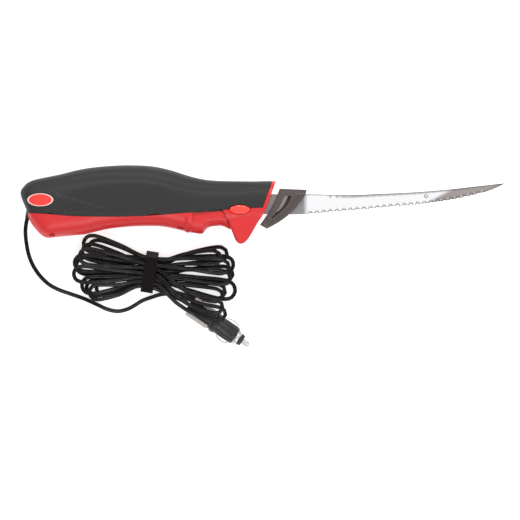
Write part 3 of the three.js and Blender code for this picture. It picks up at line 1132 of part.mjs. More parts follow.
// Plug, along its own X
const plug = new THREE.Group();
plug.position.set(PLUG.x, PLUG.y, PLUG_R);
plug.rotation.z = THREE.MathUtils.degToRad(PLUG.turn);
fishKnife.add(plug);
const plugAxis = [0, 0];
const flangeFront = GRIP_LENGTH + GAP + FLANGE_LENGTH;
piece(
  'plug_grip',
  turned([[0, 0], [0, GRIP_REAR_R - GRIP_CHAMFER], [GRIP_CHAMFER, GRIP_REAR_R], [GRIP_TAPER, GRIP_R],
    [GRIP_LENGTH, GRIP_R], [GRIP_LENGTH, 0]], plugAxis),
  FINISH.plug,
  plug,
);
const bodyBack = GRIP_LENGTH + GAP;
piece(
  'plug_body',
  turned(
    [[bodyBack, 0], [bodyBack, PLUG_R - PLUG_CHAMFER], [bodyBack + PLUG_CHAMFER, PLUG_R],
      [flangeFront - PLUG_CHAMFER, PLUG_R], [flangeFront, PLUG_R - PLUG_CHAMFER],
      [flangeFront, BARREL_R], [BARREL_FRONT, BARREL_R], [BARREL_FRONT, BARREL_BORE],
      [flangeFront, BARREL_BORE], [flangeFront, 0]],
    plugAxis,
  ),
  FINISH.plug,
  plug,
);
const ringBack = BARREL_FRONT + GAP;
const ringFront = ringBack + NOSE_RING_LENGTH;
piece(
  'plug_nose_ring',
  turned([[ringBack, BARREL_BORE], [ringBack, NOSE_RING_R], [ringFront - NOSE_RING_CHAMFER, NOSE_RING_R],
    [ringFront, NOSE_RING_R - NOSE_RING_CHAMFER], [ringFront, BARREL_BORE]], plugAxis),
  FINISH.steel,
  plug,
);
const insulatorBack = ringFront + GAP;
const insulatorFront = insulatorBack + INSULATOR_LENGTH;
piece(
  'plug_insulator',
  turned([[insulatorBack, TIP_R + RUNNING], [insulatorBack, INSULATOR_R],
    [insulatorFront, INSULATOR_R - INSULATOR_TAPER], [insulatorFront, TIP_R + RUNNING]], plugAxis),
  FINISH.plug,
  plug,
);
piece(
  'plug_tip',
  turned(
    [[TIP_BACK, 0], [TIP_BACK, TIP_FLANGE_R], [TIP_BACK + TIP_FLANGE, TIP_FLANGE_R],
      [TIP_BACK + TIP_FLANGE, TIP_R], [TIP_FRONT - TIP_NOSE[0], TIP_R],
      [TIP_FRONT - TIP_NOSE[1], TIP_NOSE_R], [TIP_FRONT, 0]],
    plugAxis,
  ),
  FINISH.steel,
  plug,
);
piece(
  'plug_spring',
  turned([[flangeFront + GAP, TIP_FLANGE_R - SPRING_WIRE], [flangeFront + GAP, TIP_FLANGE_R],
    [TIP_BACK - GAP, TIP_FLANGE_R], [TIP_BACK - GAP, TIP_FLANGE_R - SPRING_WIRE]], plugAxis, 14),
  FINISH.steel,
  plug,
);
function gripPad(side) {
  const inside = GRIP_R + GAP;
  const steps = 6;
  const arc = (r, back) =>
    Array.from({ length: steps + 1 }, (_, i) => {
      const angle = (side * Math.PI) / 2 + (back ? 1 : -1) * PAD_SPREAD * (1 - (2 * i) / steps);
      return [r * Math.cos(angle), r * Math.sin(angle)];
    });
  const shape = new THREE.Shape([...arc(inside + PAD_THICKNESS, false), ...arc(inside, true)].map(V2));
  const depth = GRIP_LENGTH - 2 * PAD_END;
  const geometry = new THREE.ExtrudeGeometry(shape, { depth, bevelEnabled: false });
  geometry.rotateY(Math.PI / 2);
  geometry.translate(PAD_END, 0, 0);
  return solid(geometry);
}
function sideContact(side) {
  const [back, front] = [flangeFront + CONTACT_ENDS[0], BARREL_FRONT - CONTACT_ENDS[1]];
  const steps = 10;
  const arc = (off, reverse) =>
    Array.from({ length: steps + 1 }, (_, i) => {
      const share = reverse ? 1 - i / steps : i / steps;
      const bow = CONTACT_BOW * Math.sin(Math.PI * share);
      return [back + (front - back) * share, side * (BARREL_R + off + bow)];
    });
  return prism([...arc(GAP, false), ...arc(GAP + CONTACT_THICKNESS, true)],
    [-CONTACT_WIDTH / 2, CONTACT_WIDTH / 2]);
}
for (const [side, word] of [[1, 'far'], [-1, 'near']]) {
  piece(`plug_grip_pad_${word}`, gripPad(side), FINISH.pad, plug);
  piece(`plug_contact_${word}`, sideContact(side), FINISH.steel, plug);
}

const tailStart = [GAP, GAP + CORD_WIDTH].map((on) => hankPoint(HANK_LOOPS + HANK_RUN + on).toArray());
plug.updateMatrixWorld();
const tailEnd = [-GAP - CORD_WIDTH, -GAP].map((x) => plug.localToWorld(new THREE.Vector3(x, 0,
  0)).toArray());
piece('cord_tail', ribbon(flatSection, [...tailStart, ...TAIL_ROUTE, ...tailEnd], 12), FINISH.cord,
  fishKnife);

export default fishKnife;
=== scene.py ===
import bmesh
import bpy
import json
import math
from mathutils import Matrix, Vector

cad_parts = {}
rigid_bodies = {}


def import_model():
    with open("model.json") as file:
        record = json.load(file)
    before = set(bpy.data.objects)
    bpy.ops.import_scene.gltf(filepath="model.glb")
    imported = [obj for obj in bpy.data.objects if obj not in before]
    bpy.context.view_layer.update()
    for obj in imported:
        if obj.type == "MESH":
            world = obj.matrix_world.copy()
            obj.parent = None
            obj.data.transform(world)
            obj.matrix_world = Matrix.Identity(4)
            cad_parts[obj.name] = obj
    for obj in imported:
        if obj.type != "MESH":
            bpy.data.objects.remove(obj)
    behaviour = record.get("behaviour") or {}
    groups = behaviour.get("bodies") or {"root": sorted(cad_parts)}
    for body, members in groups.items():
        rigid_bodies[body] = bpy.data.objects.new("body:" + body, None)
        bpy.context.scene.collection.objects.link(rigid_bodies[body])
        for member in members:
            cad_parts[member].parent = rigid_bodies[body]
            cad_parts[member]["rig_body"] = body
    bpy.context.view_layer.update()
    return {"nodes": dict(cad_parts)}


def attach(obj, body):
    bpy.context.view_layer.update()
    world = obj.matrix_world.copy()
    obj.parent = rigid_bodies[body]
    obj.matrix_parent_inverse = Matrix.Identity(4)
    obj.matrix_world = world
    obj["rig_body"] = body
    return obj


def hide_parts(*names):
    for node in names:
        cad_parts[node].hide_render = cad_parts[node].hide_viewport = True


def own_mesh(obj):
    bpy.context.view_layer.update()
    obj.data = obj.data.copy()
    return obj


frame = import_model()
scene = bpy.context.scene
mm = 0.001
midPlane = 24  # the blades' plane above the table, mm
plainSharp = 38  # degrees between faces that keep a sharp edge
weldGap, sliverGap = 0.01, 0.005  # mm
sides = {"right": 1, "left": -1}

# camera straight above, as in the photograph
shot = {"aim": (-2.4, -57), "width": 534.5, "far": 9000, "sensor": 36, "clip": (0.01, 60)}
cameraData = bpy.data.cameras.new("photoCamera")
cameraData.sensor_width = shot["sensor"]
cameraData.lens = shot["sensor"] * shot["far"] / shot["width"]
cameraData.clip_start, cameraData.clip_end = shot["clip"]
photoCamera = bpy.data.objects.new("photoCamera", cameraData)
photoCamera.location = [shot["aim"][0] * mm, shot["aim"][1] * mm, (shot["far"] + midPlane) * mm]
scene.collection.objects.link(photoCamera)
scene.camera = photoCamera
print("camera set")


# helpers for lines
def smoothLine(points):
    last = len(points) - 1

    def slope(i):
        (x0, y0), (x1, y1) = points[max(i - 1, 0)], points[min(i + 1, last)]
        return (y1 - y0) / (x1 - x0)

    def at(x):
        if x <= points[0][0]:
            return points[0][1]
        if x >= points[last][0]:
            return points[last][1]
        i = next(k for k in range(last) if points[k + 1][0] > x)
        width = points[i + 1][0] - points[i][0]
        t = (x - points[i][0]) / width
        rise = t * t * (3 - 2 * t)
        bend = t * (1 - t) * width * ((1 - t) * slope(i) - t * slope(i + 1))
        return points[i][1] * (1 - rise) + points[i + 1][1] * rise + bend

    return at


def straightLine(points):
    def at(x):
        for (x0, y0), (x1, y1) in zip(points, points[1:]):
            if x <= x1:
                return y0 + (y1 - y0) * max((x - x0) / (x1 - x0), 0)
        return points[-1][1]

    return at


def shareOf(x, low, high):
    return min(max((x - low) / (high - low), 0), 1)


def ease(t):
    t = min(max(t, 0), 1)
    return t * t * (3 - 2 * t)


def steps(low, high, count):
    return [low + (high - low) * i / count for i in range(count + 1)]


def stations(low, high, gap):
    return steps(low, high, max(round((high - low) / gap), 1))


# a smooth curve through points, centripetal so that it never loops
def curveThrough(points, gap):
    points = [Vector(p) for p in points]
    padded = [2 * points[0] - points[1], *points, 2 * points[-1] - points[-2]]
    out = []
    for p0, p1, p2, p3 in zip(padded, padded[1:], padded[2:], padded[3:]):
        d0, d1, d2 = [max((b - a).length, 1e-6) ** 0.5 for a, b in ((p0, p1), (p1, p2), (p2, p3))]
        m1 = ((p1 - p0) / d0 - (p2 - p0) / (d0 + d1) + (p2 - p1) / d1) * d1
        m2 = ((p2 - p1) / d1 - (p3 - p1) / (d1 + d2) + (p3 - p2) / d2) * d1
        count = max(int((p2 - p1).length / gap), 1)
        for k in range(count):
            t = k / count
            out.append(p1 + m1 * t + (3 * (p2 - p1) - 2 * m1 - m2) * t ** 2
                       + (2 * (p1 - p2) + m1 + m2) * t ** 3)
    return out + [points[-1]]


def flatCurve(points, gap):
    return [p.xy for p in curveThrough([(*p, 0) for p in points], gap)]


# direction of a line at one of its points
def wayAt(line, i):
    return (line[min(i + 1, len(line) - 1)] - line[max(i - 1, 0)]).normalized()


def rightOf(way):
    return Vector((way.y, -way.x))


# helpers for meshes, all in millimetres until toObject
def gridSkin(columns, rows, place):
    mesh = bmesh.new()
    wide, tall = len(columns) - 1, len(rows) - 1
    bmesh.ops.create_grid(mesh, x_segments=wide, y_segments=tall, size=1)
    for v in mesh.verts:
        i = round((v.co.x + 1) / 2 * wide)
        j = round((v.co.y + 1) / 2 * tall)
        v.co = place(columns[i], rows[j])
    bmesh.ops.remove_doubles(mesh, verts=mesh.verts, dist=weldGap)
    bmesh.ops.dissolve_degenerate(mesh, dist=sliverGap, edges=mesh.edges)
    bmesh.ops.recalc_face_normals(mesh, faces=mesh.faces)
    return mesh


# faces a skin away from the middle that belongs to each point
def turnOut(mesh, middle):
    facing = 0
    for face in mesh.faces:
        centre = face.calc_center_median()
        facing += (centre - middle(centre)).dot(face.normal) * face.calc_area()
    if facing < 0:
        bmesh.ops.reverse_faces(mesh, faces=mesh.faces)


# the middle of shapes that face out from the blades' plane
def sideAxis(p):
    return Vector((p.x, p.y, midPlane))


def closeEnds(mesh):
    bmesh.ops.holes_fill(mesh, edges=[e for e in mesh.edges if e.is_boundary], sides=0)
    bmesh.ops.recalc_face_normals(mesh, faces=mesh.faces)


# adds one strip to a mesh of several
def addStrip(whole, columns, rows, place):
    strip = gridSkin(columns, rows, place)
    turnOut(strip, sideAxis)
    part = bpy.data.meshes.new("strip")
    strip.to_mesh(part)
    strip.free()
    whole.from_mesh(part)
    bpy.data.meshes.remove(part)


# a turned shape from a profile of (x, radius) about X, placed by a matrix
def lathe(profile, matrix, count=56):
    mesh = bmesh.new()
    points = [mesh.verts.new((x, r, 0)) for x, r in profile]
    edges = [mesh.edges.new(pair) for pair in zip(points, points[1:])]
    bmesh.ops.spin(mesh, geom=points + edges, cent=(0, 0, 0), axis=(1, 0, 0), angle=2 * math.pi,
                   steps=count, use_merge=True)
    bmesh.ops.remove_doubles(mesh, verts=mesh.verts, dist=sliverGap)
    bmesh.ops.recalc_face_normals(mesh, faces=mesh.faces)
    bmesh.ops.transform(mesh, matrix=matrix, verts=mesh.verts)
    return mesh


# an upright oval or round prism between two heights along an axis letter
def ovalPrism(centre, halfX, halfY, low, high, upright="Z"):
    mesh = bmesh.new()
    bmesh.ops.create_circle(mesh, cap_ends=True, segments=64, radius=1)
    bmesh.ops.scale(mesh, vec=(halfX, halfY, 1), verts=mesh.verts)
    raised = bmesh.ops.extrude_face_region(mesh, geom=mesh.faces[:])
    top = [g for g in raised["geom"] if isinstance(g, bmesh.types.BMVert)]
    bmesh.ops.translate(mesh, vec=(0, 0, high - low), verts=top)
    bmesh.ops.translate(mesh, vec=(centre[0], centre[1], low), verts=mesh.verts)
    if upright == "Y":
        lying = Matrix.Rotation(math.radians(-90), 3, "X")
        bmesh.ops.rotate(mesh, cent=(0, 0, 0), matrix=lying, verts=mesh.verts)
    bmesh.ops.recalc_face_normals(mesh, faces=mesh.faces)
    return mesh


def toObject(name, mesh, unit=mm):
    bmesh.ops.scale(mesh, vec=(unit, unit, unit), verts=mesh.verts)
    data = bpy.data.meshes.new(name)
    mesh.to_mesh(data)
    mesh.free()
    made = bpy.data.objects.new(name, data)
    scene.collection.objects.link(made)
    return made


def soften(piece, sharp):
    piece.data.shade_smooth()
    piece.data.set_sharp_from_angle(angle=math.radians(sharp))


def newPiece(name, mesh, finish, slot, nodes, sharp=plainSharp):
    piece = toObject(name, mesh)
    piece.data.materials.append(finish)
    soften(piece, sharp)
    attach(piece, frame["nodes"][nodes[0]]["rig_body"])
    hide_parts(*nodes)
    return piece


# runs the modifiers now and keeps their result
def settle(piece, sharp):
    graph = bpy.context.evaluated_depsgraph_get()
    made = bpy.data.meshes.new_from_object(piece.evaluated_get(graph))
    piece.modifiers.clear()
    piece.data = made
    soften(piece, sharp)


def thicken(piece, wall, sharp=plainSharp):
    solid = piece.modifiers.new("wall", "SOLIDIFY")
    solid.thickness = wall * mm
    solid.offset = -1
    solid.use_even_offset = False
    settle(piece, sharp)


def cutOut(piece, cutters):
    for mesh in cutters:
        tool = toObject("cutter", mesh)
        cut = piece.modifiers.new("cut", "BOOLEAN")
        cut.object = tool
        cut.operation = "DIFFERENCE"
        cut.solver = "EXACT"
        settle(piece, plainSharp)
        bpy.data.objects.remove(tool)


# shader helpers
def tint(r, g, b):
    linear = [c / 255 / 12.92 if c <= 10 else ((c / 255 + 0.055) / 1.055) ** 2.4 for c in (r, g, b)]
    return (*linear, 1)


def setInputs(node, values):
    for key, value in values.items():
        node.inputs[key].default_value = value


def addNode(tree, kind, values=None, **settings):
    made = tree.nodes.new("ShaderNode" + kind)
    for key, value in settings.items():
        setattr(made, key, value)
    setInputs(made, values or {})
    return made


def placeGroup(tree, group, values):
    return addNode(tree, "Group", values, node_tree=group)


# links from an output of one node to an input of another
def joinNodes(tree, *links):
    for source, output, target, entry in links:
        tree.links.new(source.outputs[output], target.inputs[entry])


def startGroup(name, takes, gives):
    group = bpy.data.node_groups.new(name, "ShaderNodeTree")
    for label, kind, value in takes:
        socket = group.interface.new_socket(label, in_out="INPUT", socket_type="NodeSocket" + kind)
        socket.default_value = value
    for label, kind in gives:
        group.interface.new_socket(label, in_out="OUTPUT", socket_type="NodeSocket" + kind)
    return group, group.nodes.new("NodeGroupInput"), group.nodes.new("NodeGroupOutput")


def startFinish(name):
    finish = bpy.data.materials.new(name)
    finish.use_nodes = True
    tree = finish.node_tree
    return finish, tree, tree.nodes["Principled BSDF"]


# slow change of tone over a moulded surface
def makeToneDrift():
    takes = [("Color", "Color", (0.5, 0.5, 0.5, 1)), ("Amount", "Float", 0.1), ("Scale", "Float", 30)]
    group, given, result = startGroup("toneDrift", takes, [("Color", "Color")])
    place = addNode(group, "TexCoord")
    noise = addNode(group, "TexNoise", {"Detail": 3, "Roughness": 0.55})
    centred = addNode(group, "Math", {1: 0.5}, operation="SUBTRACT")
    swing = addNode(group, "Math", operation="MULTIPLY")
    lifted = addNode(group, "Math", {1: 1}, operation="ADD")
    scaled = addNode(group, "VectorMath", operation="SCALE")
    joinNodes(group, (place, "Object", noise, "Vector"), (given, "Scale", noise, "Scale"),
              (noise, "Fac", centred, 0), (centred, 0, swing, 0), (given, "Amount", swing, 1),
              (swing, 0, lifted, 0), (given, "Color", scaled, 0), (lifted, 0, scaled, "Scale"),
              (scaled, 0, result, "Color"))
    return group


# fine pebbled texture of a mould
def makeMouldGrain():
    group, given, result = startGroup("mouldGrain", [("Scale", "Float", 1500)], [("Height", "Float")])
    place = addNode(group, "TexCoord")
    cells = addNode(group, "TexVoronoi", feature="SMOOTH_F1")
    noise = addNode(group, "TexNoise", {"Detail": 2})
    blend = addNode(group, "Math", {1: 0.6}, operation="MULTIPLY")
    total = addNode(group, "Math", operation="ADD")
    joinNodes(group, (place, "Object", cells, "Vector"), (place, "Object", noise, "Vector"),
              (given, "Scale", cells, "Scale"), (given, "Scale", noise, "Scale"), (noise, "Fac", blend, 0),
              (blend, 0, total, 0), (cells, "Distance", total, 1), (total, 0, result, "Height"))
    return group


# long thin lines left by grinding or drawing
def makeDrawnLines():
    takes = [("Stretch", "Vector", (20, 1200, 1200))]
    group, given, result = startGroup("drawnLines", takes, [("Value", "Float")])
    place = addNode(group, "TexCoord")
    stretched = addNode(group, "VectorMath", operation="MULTIPLY")
    noise = addNode(group, "TexNoise", {"Scale": 1, "Detail": 4, "Roughness": 0.6})
    joinNodes(group, (place, "Object", stretched, 0), (given, "Stretch", stretched, 1),
              (stretched, 0, noise, "Vector"), (noise, "Fac", result, "Value"))
    return group


# sparse patches: rubbed wear in roughness, and the breaks in the cord's painted highlight
def makeWearAndHighlightPatches():
    group, given, result = startGroup("wearAndHighlightPatches", [("Scale", "Float", 90), ("From", "Float", 0.58),
                                                 ("To", "Float", 0.72)], [("Mask", "Float")])
    place = addNode(group, "TexCoord")
    noise = addNode(group, "TexNoise", {"Detail": 6, "Roughness": 0.7})
    picked = addNode(group, "MapRange")
    joinNodes(group, (place, "Object", noise, "Vector"), (given, "Scale", noise, "Scale"),
              (noise, "Fac", picked, "Value"), (given, "From", picked, "From Min"),
              (given, "To", picked, "From Max"), (picked, 0, result, "Mask"))
    return group


toneDrift, mouldGrain, drawnLines, wearAndHighlightPatches = makeToneDrift(), makeMouldGrain(), makeDrawnLines(), makeWearAndHighlightPatches()
moulded = {"driftScale": 25, "wearScale": 70, "relief": 0.6, "coatRough": 0.12}
drawn = {"drift": 0.1, "driftScale": 60, "relief": 0.4, "low": 0.3, "high": 0.7}


# moulded plastic with drift, pebbled grain and rubbed patches that shine a little more
def plastic(name, color, rough, grain, depth, drift=0.12, rub=0.08, coat=0, shine=0.4):
    finish, tree, skin = startFinish(name)
    tone = placeGroup(tree, toneDrift, {"Color": color, "Amount": drift, "Scale": moulded["driftScale"]})
    pebble = placeGroup(tree, mouldGrain, {"Scale": grain})
    wear = placeGroup(tree, wearAndHighlightPatches, {"Scale": moulded["wearScale"]})
    relief = addNode(tree, "Bump", {"Strength": moulded["relief"], "Distance": depth * mm})
    gloss = addNode(tree, "MapRange", {"To Min": rough, "To Max": rough - rub})
    joinNodes(tree, (tone, "Color", skin, "Base Color"), (pebble, "Height", relief, "Height"),
              (relief, "Normal", skin, "Normal"), (wear, "Mask", gloss, "Value"), (gloss, 0, skin, "Roughness"))
    setInputs(skin, {"Specular IOR Level": shine, "Coat Weight": coat, "Coat Roughness": moulded["coatRough"]})
    return finish


# metal with drawn lines
def metal(name, color, rough, stretch, lines=0.12, depth=0.01):
    finish, tree, skin = startFinish(name)
    tone = placeGroup(tree, toneDrift, {"Color": color, "Amount": drawn["drift"], "Scale": drawn["driftScale"]})
    grain = placeGroup(tree, drawnLines, {"Stretch": stretch})
    gloss = addNode(tree, "MapRange", {"From Min": drawn["low"], "From Max": drawn["high"],
                                       "To Min": rough - lines / 2, "To Max": rough + lines / 2})
    relief = addNode(tree, "Bump", {"Strength": drawn["relief"], "Distance": depth * mm})
    joinNodes(tree, (tone, "Color", skin, "Base Color"), (grain, "Value", gloss, "Value"),
              (grain, "Value", relief, "Height"), (gloss, 0, skin, "Roughness"),
              (relief, "Normal", skin, "Normal"))
    setInputs(skin, {"Metallic": 1})
    return finish


blackShell = plastic("blackShell", tint(37, 37, 38), 0.55, 1700, 0.02, drift=0.16, shine=0.3)
redShell = plastic("redShell", tint(200, 34, 36), 0.36, 2300, 0.012, drift=0.1)
buttonGloss = plastic("buttonGloss", tint(250, 58, 44), 0.2, 900, 0.004, drift=0.06, rub=0.04, coat=0.5)
badgeRed = plastic("badgeRed", tint(222, 48, 42), 0.26, 1200, 0.004, drift=0.06, rub=0.05, coat=0.3)
badgePale = plastic("badgePale", tint(250, 205, 200), 0.3, 1200, 0.004, drift=0.05, rub=0.05)
# a lighter copy of the black shell for the grip ribs: painted highlight on the raised ribs
ribShellPaintedLight = plastic("ribShellPaintedLight", tint(50, 50, 51), 0.5, 1700, 0.02, drift=0.16, shine=0.3)
guardPlastic = plastic("guardPlastic", tint(74, 67, 65), 0.5, 1600, 0.02, drift=0.16)
# a lighter copy of the guard plastic for its fine ribs: painted highlight on the raised ribs
guardRibsPaintedLight = plastic("guardRibsPaintedLight", tint(98, 90, 87), 0.45, 1600, 0.02, drift=0.16)
plugPlastic = plastic("plugPlastic", tint(30, 28, 27), 0.36, 1500, 0.015, drift=0.16)
padPlastic = plastic("padPlastic", tint(168, 163, 160), 0.55, 1300, 0.02)
paleNylon = plastic("paleNylon", tint(228, 223, 210), 0.45, 1500, 0.01, drift=0.1)
darkSteel = metal("darkSteel", tint(132, 129, 127), 0.32, (60, 900, 900))
plainSteel = metal("plainSteel", tint(200, 201, 203), 0.3, (60, 900, 900))
warmBrass = metal("warmBrass", tint(190, 152, 82), 0.34, (60, 900, 900))
windingCopper = metal("windingCopper", tint(184, 108, 66), 0.4, (30, 2600, 2600), lines=0.2, depth=0.06)
print("finishes made")


# cord: a flat twin lead from the gland through the hank to the plug
cord = {
    "lobeR": 1.15, "lobeOff": 0.95, "lobeSteps": 9, "width": 4.2, "gap": 2.8,
    "gland": (-240.2, -8.6), "glandAxis": (-0.25, -0.96825), "glandOut": 5.6, "sunk": 2,
    "lead": [(-242.7, -19, 23.8), (-243.5, -25.3, 22.4), (-243.5, -32, 19.4), (-242.9, -38.4, 15.4),
             (-242, -45, 11), (-240.6, -51.5, 7), (-238.6, -57.5, 3.9), (-235.9, -63.3, 2.2), (-232, -69.5, 1.5),
             (-227.5, -75.1, 1.4), (-219.6, -82.3, 1.4), (-209.7, -87.6, 1.4), (-196.7, -92.2, 1.4),
             (-183.5, -96.9, 1.4), (-170, -103, 1.4), (-159, -108, 1.4), (-148.5, -109.8, 1.4),
             (-138.5, -107.4, 1.4), (-131, -103.4, 1.4), (-123.7, -98.9, 1.4), (-114, -95.4, 1.4),
             (-106.5, -92.9, 1.4), (-99.4, -91.9, 1.4)],
    "hankX": -116, "hankY": -69.4, "turn": -9, "rows": (2.8, 5.3, 7.8, 10.3), "drop": 1.55, "strapHalf": 9,
    "reach": (0.5, 0.62), "sink": (0.6, 0.4),  # shares of a strand's way along, across and down
    "over": (22.6, 25.2), "overReach": [(0.4, 0.62, -3), (0.62, 0.9, 0)],  # the same for strands over the plug
    "leadV": -19.6, "tail": [(14, -17.3, 9.6), (24, -20.2, 9.3), (34, -22.6, 9.8)], "plugEnds": (-4.5, -0.3),
    # the next three place the cord's painted highlight: its lean towards the lamps, its width, and how far up the
    # surface must face
    "highlightLean": 0.32, "highlightWide": 0.16, "highlightUp": 0.6,
    # half loops: end along and across the hank, half width, row, place in the strap and row there
    "loops": [
        (80, -8.7, 7.3, 0, -12.5, 0), (-62, -25, 8, 0, -7.5, 0), (85, 10.4, 7.3, 0, -2, 0),
        (-76, -4, 8.5, 0, 3.5, 0), (76, 29.5, 7.3, 0, 9, 0), (-66, 16, 8, 0, 14.5, 1), (84, 20, 8, 1, 7, 1),
        (-72, 11, 8, 1, 0, 1), (90, -6, 9.5, 1, -7, 1), (-52, -23, 8, 1, -14, 2), (78, -13, 6.5, 2, -8.5, 2),
        (-67, -23, 8.5, 2, -3, 2), (83, 6, 7, 2, 2.5, 2), (-78, -1.5, 8, 2, 8, 2), (70, 25, 7, 2, 13, 2),
        (-72, 19.5, 8.5, 2, 15, 3), (80, 17, 7, 3, 8, 3), (-74, 6, 8, 3, 3, 3), (80, -24.5, 6.5, 5, -2.5, 3),
        (-77, -13, 8, 3, -7, 3), (84, -31.2, 6.3, 4, -11.5, 3), (-58, -29, 7.5, 3, -16, 3)],
}
plug = {"x": -75.4, "y": -103, "level": 10.4, "turn": -34.2}
plugMatrix = (Matrix.Translation((plug["x"], plug["y"], plug["level"]))
              @ Matrix.Rotation(math.radians(plug["turn"]), 4, "Z"))


def hankPlace(u, v, z):
    turn = math.radians(cord["turn"])
    return Vector((cord["hankX"] + u * math.cos(turn) - v * math.sin(turn),
                   cord["hankY"] + u * math.sin(turn) + v * math.cos(turn), z))


# one half loop from the strap out and back; rows after the hank's own lie over the plug
def halfLoop(v0, z0, loop):
    end, middle, half, row, v1, row1 = loop
    side = math.copysign(1, end)
    first = math.copysign(half, v0 - v1)
    z1 = cord["rows"][row1]
    over = row - len(cord["rows"])
    if over >= 0:
        level = cord["over"][over]
        outward = [(u, v, level + rise) for u, v, rise in cord["overReach"]]
        inward = outward[::-1]
    else:
        level = cord["rows"][row] - cord["drop"]
        outward = [(*cord["reach"], z0 + (level - z0) * cord["sink"][0])]
        inward = [(*cord["reach"], level + cord["drop"] * cord["sink"][1])]
    points = [(end * u, v0 + (middle + first - v0) * v, z) for u, v, z in outward]
    for angle in (90, 45, 0, -45, -90):
        turn = math.radians(angle)
        points.append((end + side * half * (math.cos(turn) - 1), middle + first * math.sin(turn), level))
    points += [(end * u, v1 + (middle - first - v1) * v, z) for u, v, z in inward]
    points += [(side * cord["strapHalf"], v1, z1), (-side * cord["strapHalf"], v1, z1)]
    return [hankPlace(*p) for p in points]


def cordPath():
    out = cord["glandOut"] - cord["sunk"]
    start = [place + out * way for place, way in zip(cord["gland"], cord["glandAxis"])]
    points = [(*start, midPlane), *cord["lead"]]
    v, z = cord["leadV"], cord["lead"][-1][2]
    for loop in cord["loops"]:
        points += halfLoop(v, z, loop)
        v, z = loop[4], cord["rows"][loop[5]]
    points += [hankPlace(*p) for p in cord["tail"]]
    points += [plugMatrix @ Vector((x, 0, 0)) for x in cord["plugEnds"]]
    return curveThrough(points, cord["gap"])


# two round cores side by side, the broad side kept level
def twinSection():
    turn = math.acos(-cord["lobeOff"] / cord["lobeR"])
    right = [(cord["lobeOff"] + cord["lobeR"] * math.cos(a), cord["lobeR"] * math.sin(a))
             for a in steps(-turn, turn, cord["lobeSteps"])]
    return right + [(-x, -y) for x, y in right[1:]]


def makeCord():
    path = cordPath()
    section = twinSection()

    def place(i, j):
        along = wayAt(path, i)
        across = Vector((0, 0, 1)).cross(along).normalized()
        return path[i] + across * section[j][0] + along.cross(across) * section[j][1]

    mesh = gridSkin(list(range(len(path))), list(range(len(section))), place)
    closeEnds(mesh)
    return path, mesh


def makeCordSheath():
    finish, tree, skin = startFinish("cordSheath")
    paintedHighlight = addNode(tree, "Attribute", attribute_name="paintedHighlight")
    highlightPatches = placeGroup(tree, wearAndHighlightPatches, {"Scale": 26, "From": 0.42, "To": 0.66})
    share = addNode(tree, "Math", operation="MULTIPLY")
    # a painted highlight: pale grey mixed into the black where the cores' crowns face the lamps, broken into
    # patches
    paintedLightMix = addNode(tree, "Mix", {"A": tint(7, 6, 6), "B": tint(96, 94, 94)}, data_type="RGBA")
    tone = placeGroup(tree, toneDrift, {"Amount": 0.5, "Scale": 45})
    wear = placeGroup(tree, wearAndHighlightPatches, {"Scale": 120})
    gloss = addNode(tree, "MapRange", {"To Min": 0.34, "To Max": 0.24})
    grain = placeGroup(tree, mouldGrain, {"Scale": 900})
    relief = addNode(tree, "Bump", {"Strength": 0.5, "Distance": 0.02 * mm})
    joinNodes(tree, (paintedHighlight, "Fac", share, 0), (highlightPatches, "Mask", share, 1), (share, 0, paintedLightMix, "Factor"),
              (paintedLightMix, "Result", tone, "Color"), (tone, "Color", skin, "Base Color"),
              (wear, "Mask", gloss, "Value"), (gloss, 0, skin, "Roughness"), (grain, "Height", relief, "Height"),
              (relief, "Normal", skin, "Normal"))
    setInputs(skin, {"Specular IOR Level": 0.18})
    return finish


# marks a painted highlight along the crown of the cores, on the side that faces the lamps
def markPaintedHighlight(piece):
    mark = piece.data.attributes.new("paintedHighlight", "FLOAT", "POINT")
    for v, value in zip(piece.data.vertices, mark.data):
        off = (v.normal.y - cord["highlightLean"]) / cord["highlightWide"]
        value.value = math.exp(-off ** 2) * (v.normal.z > cord["highlightUp"])


cordLine, cordMesh = makeCord()
cordNodes = ["cord_hank", "cord_lead", "cord_tail"]
cordPiece = newPiece("twinCord", cordMesh, makeCordSheath(), "cord_sheath", cordNodes, sharp=60)
markPaintedHighlight(cordPiece)
cordLength = sum((b - a).length for a, b in zip(cordLine, cordLine[1:])) * mm
print("cord laid, metres:", round(cordLength, 3))


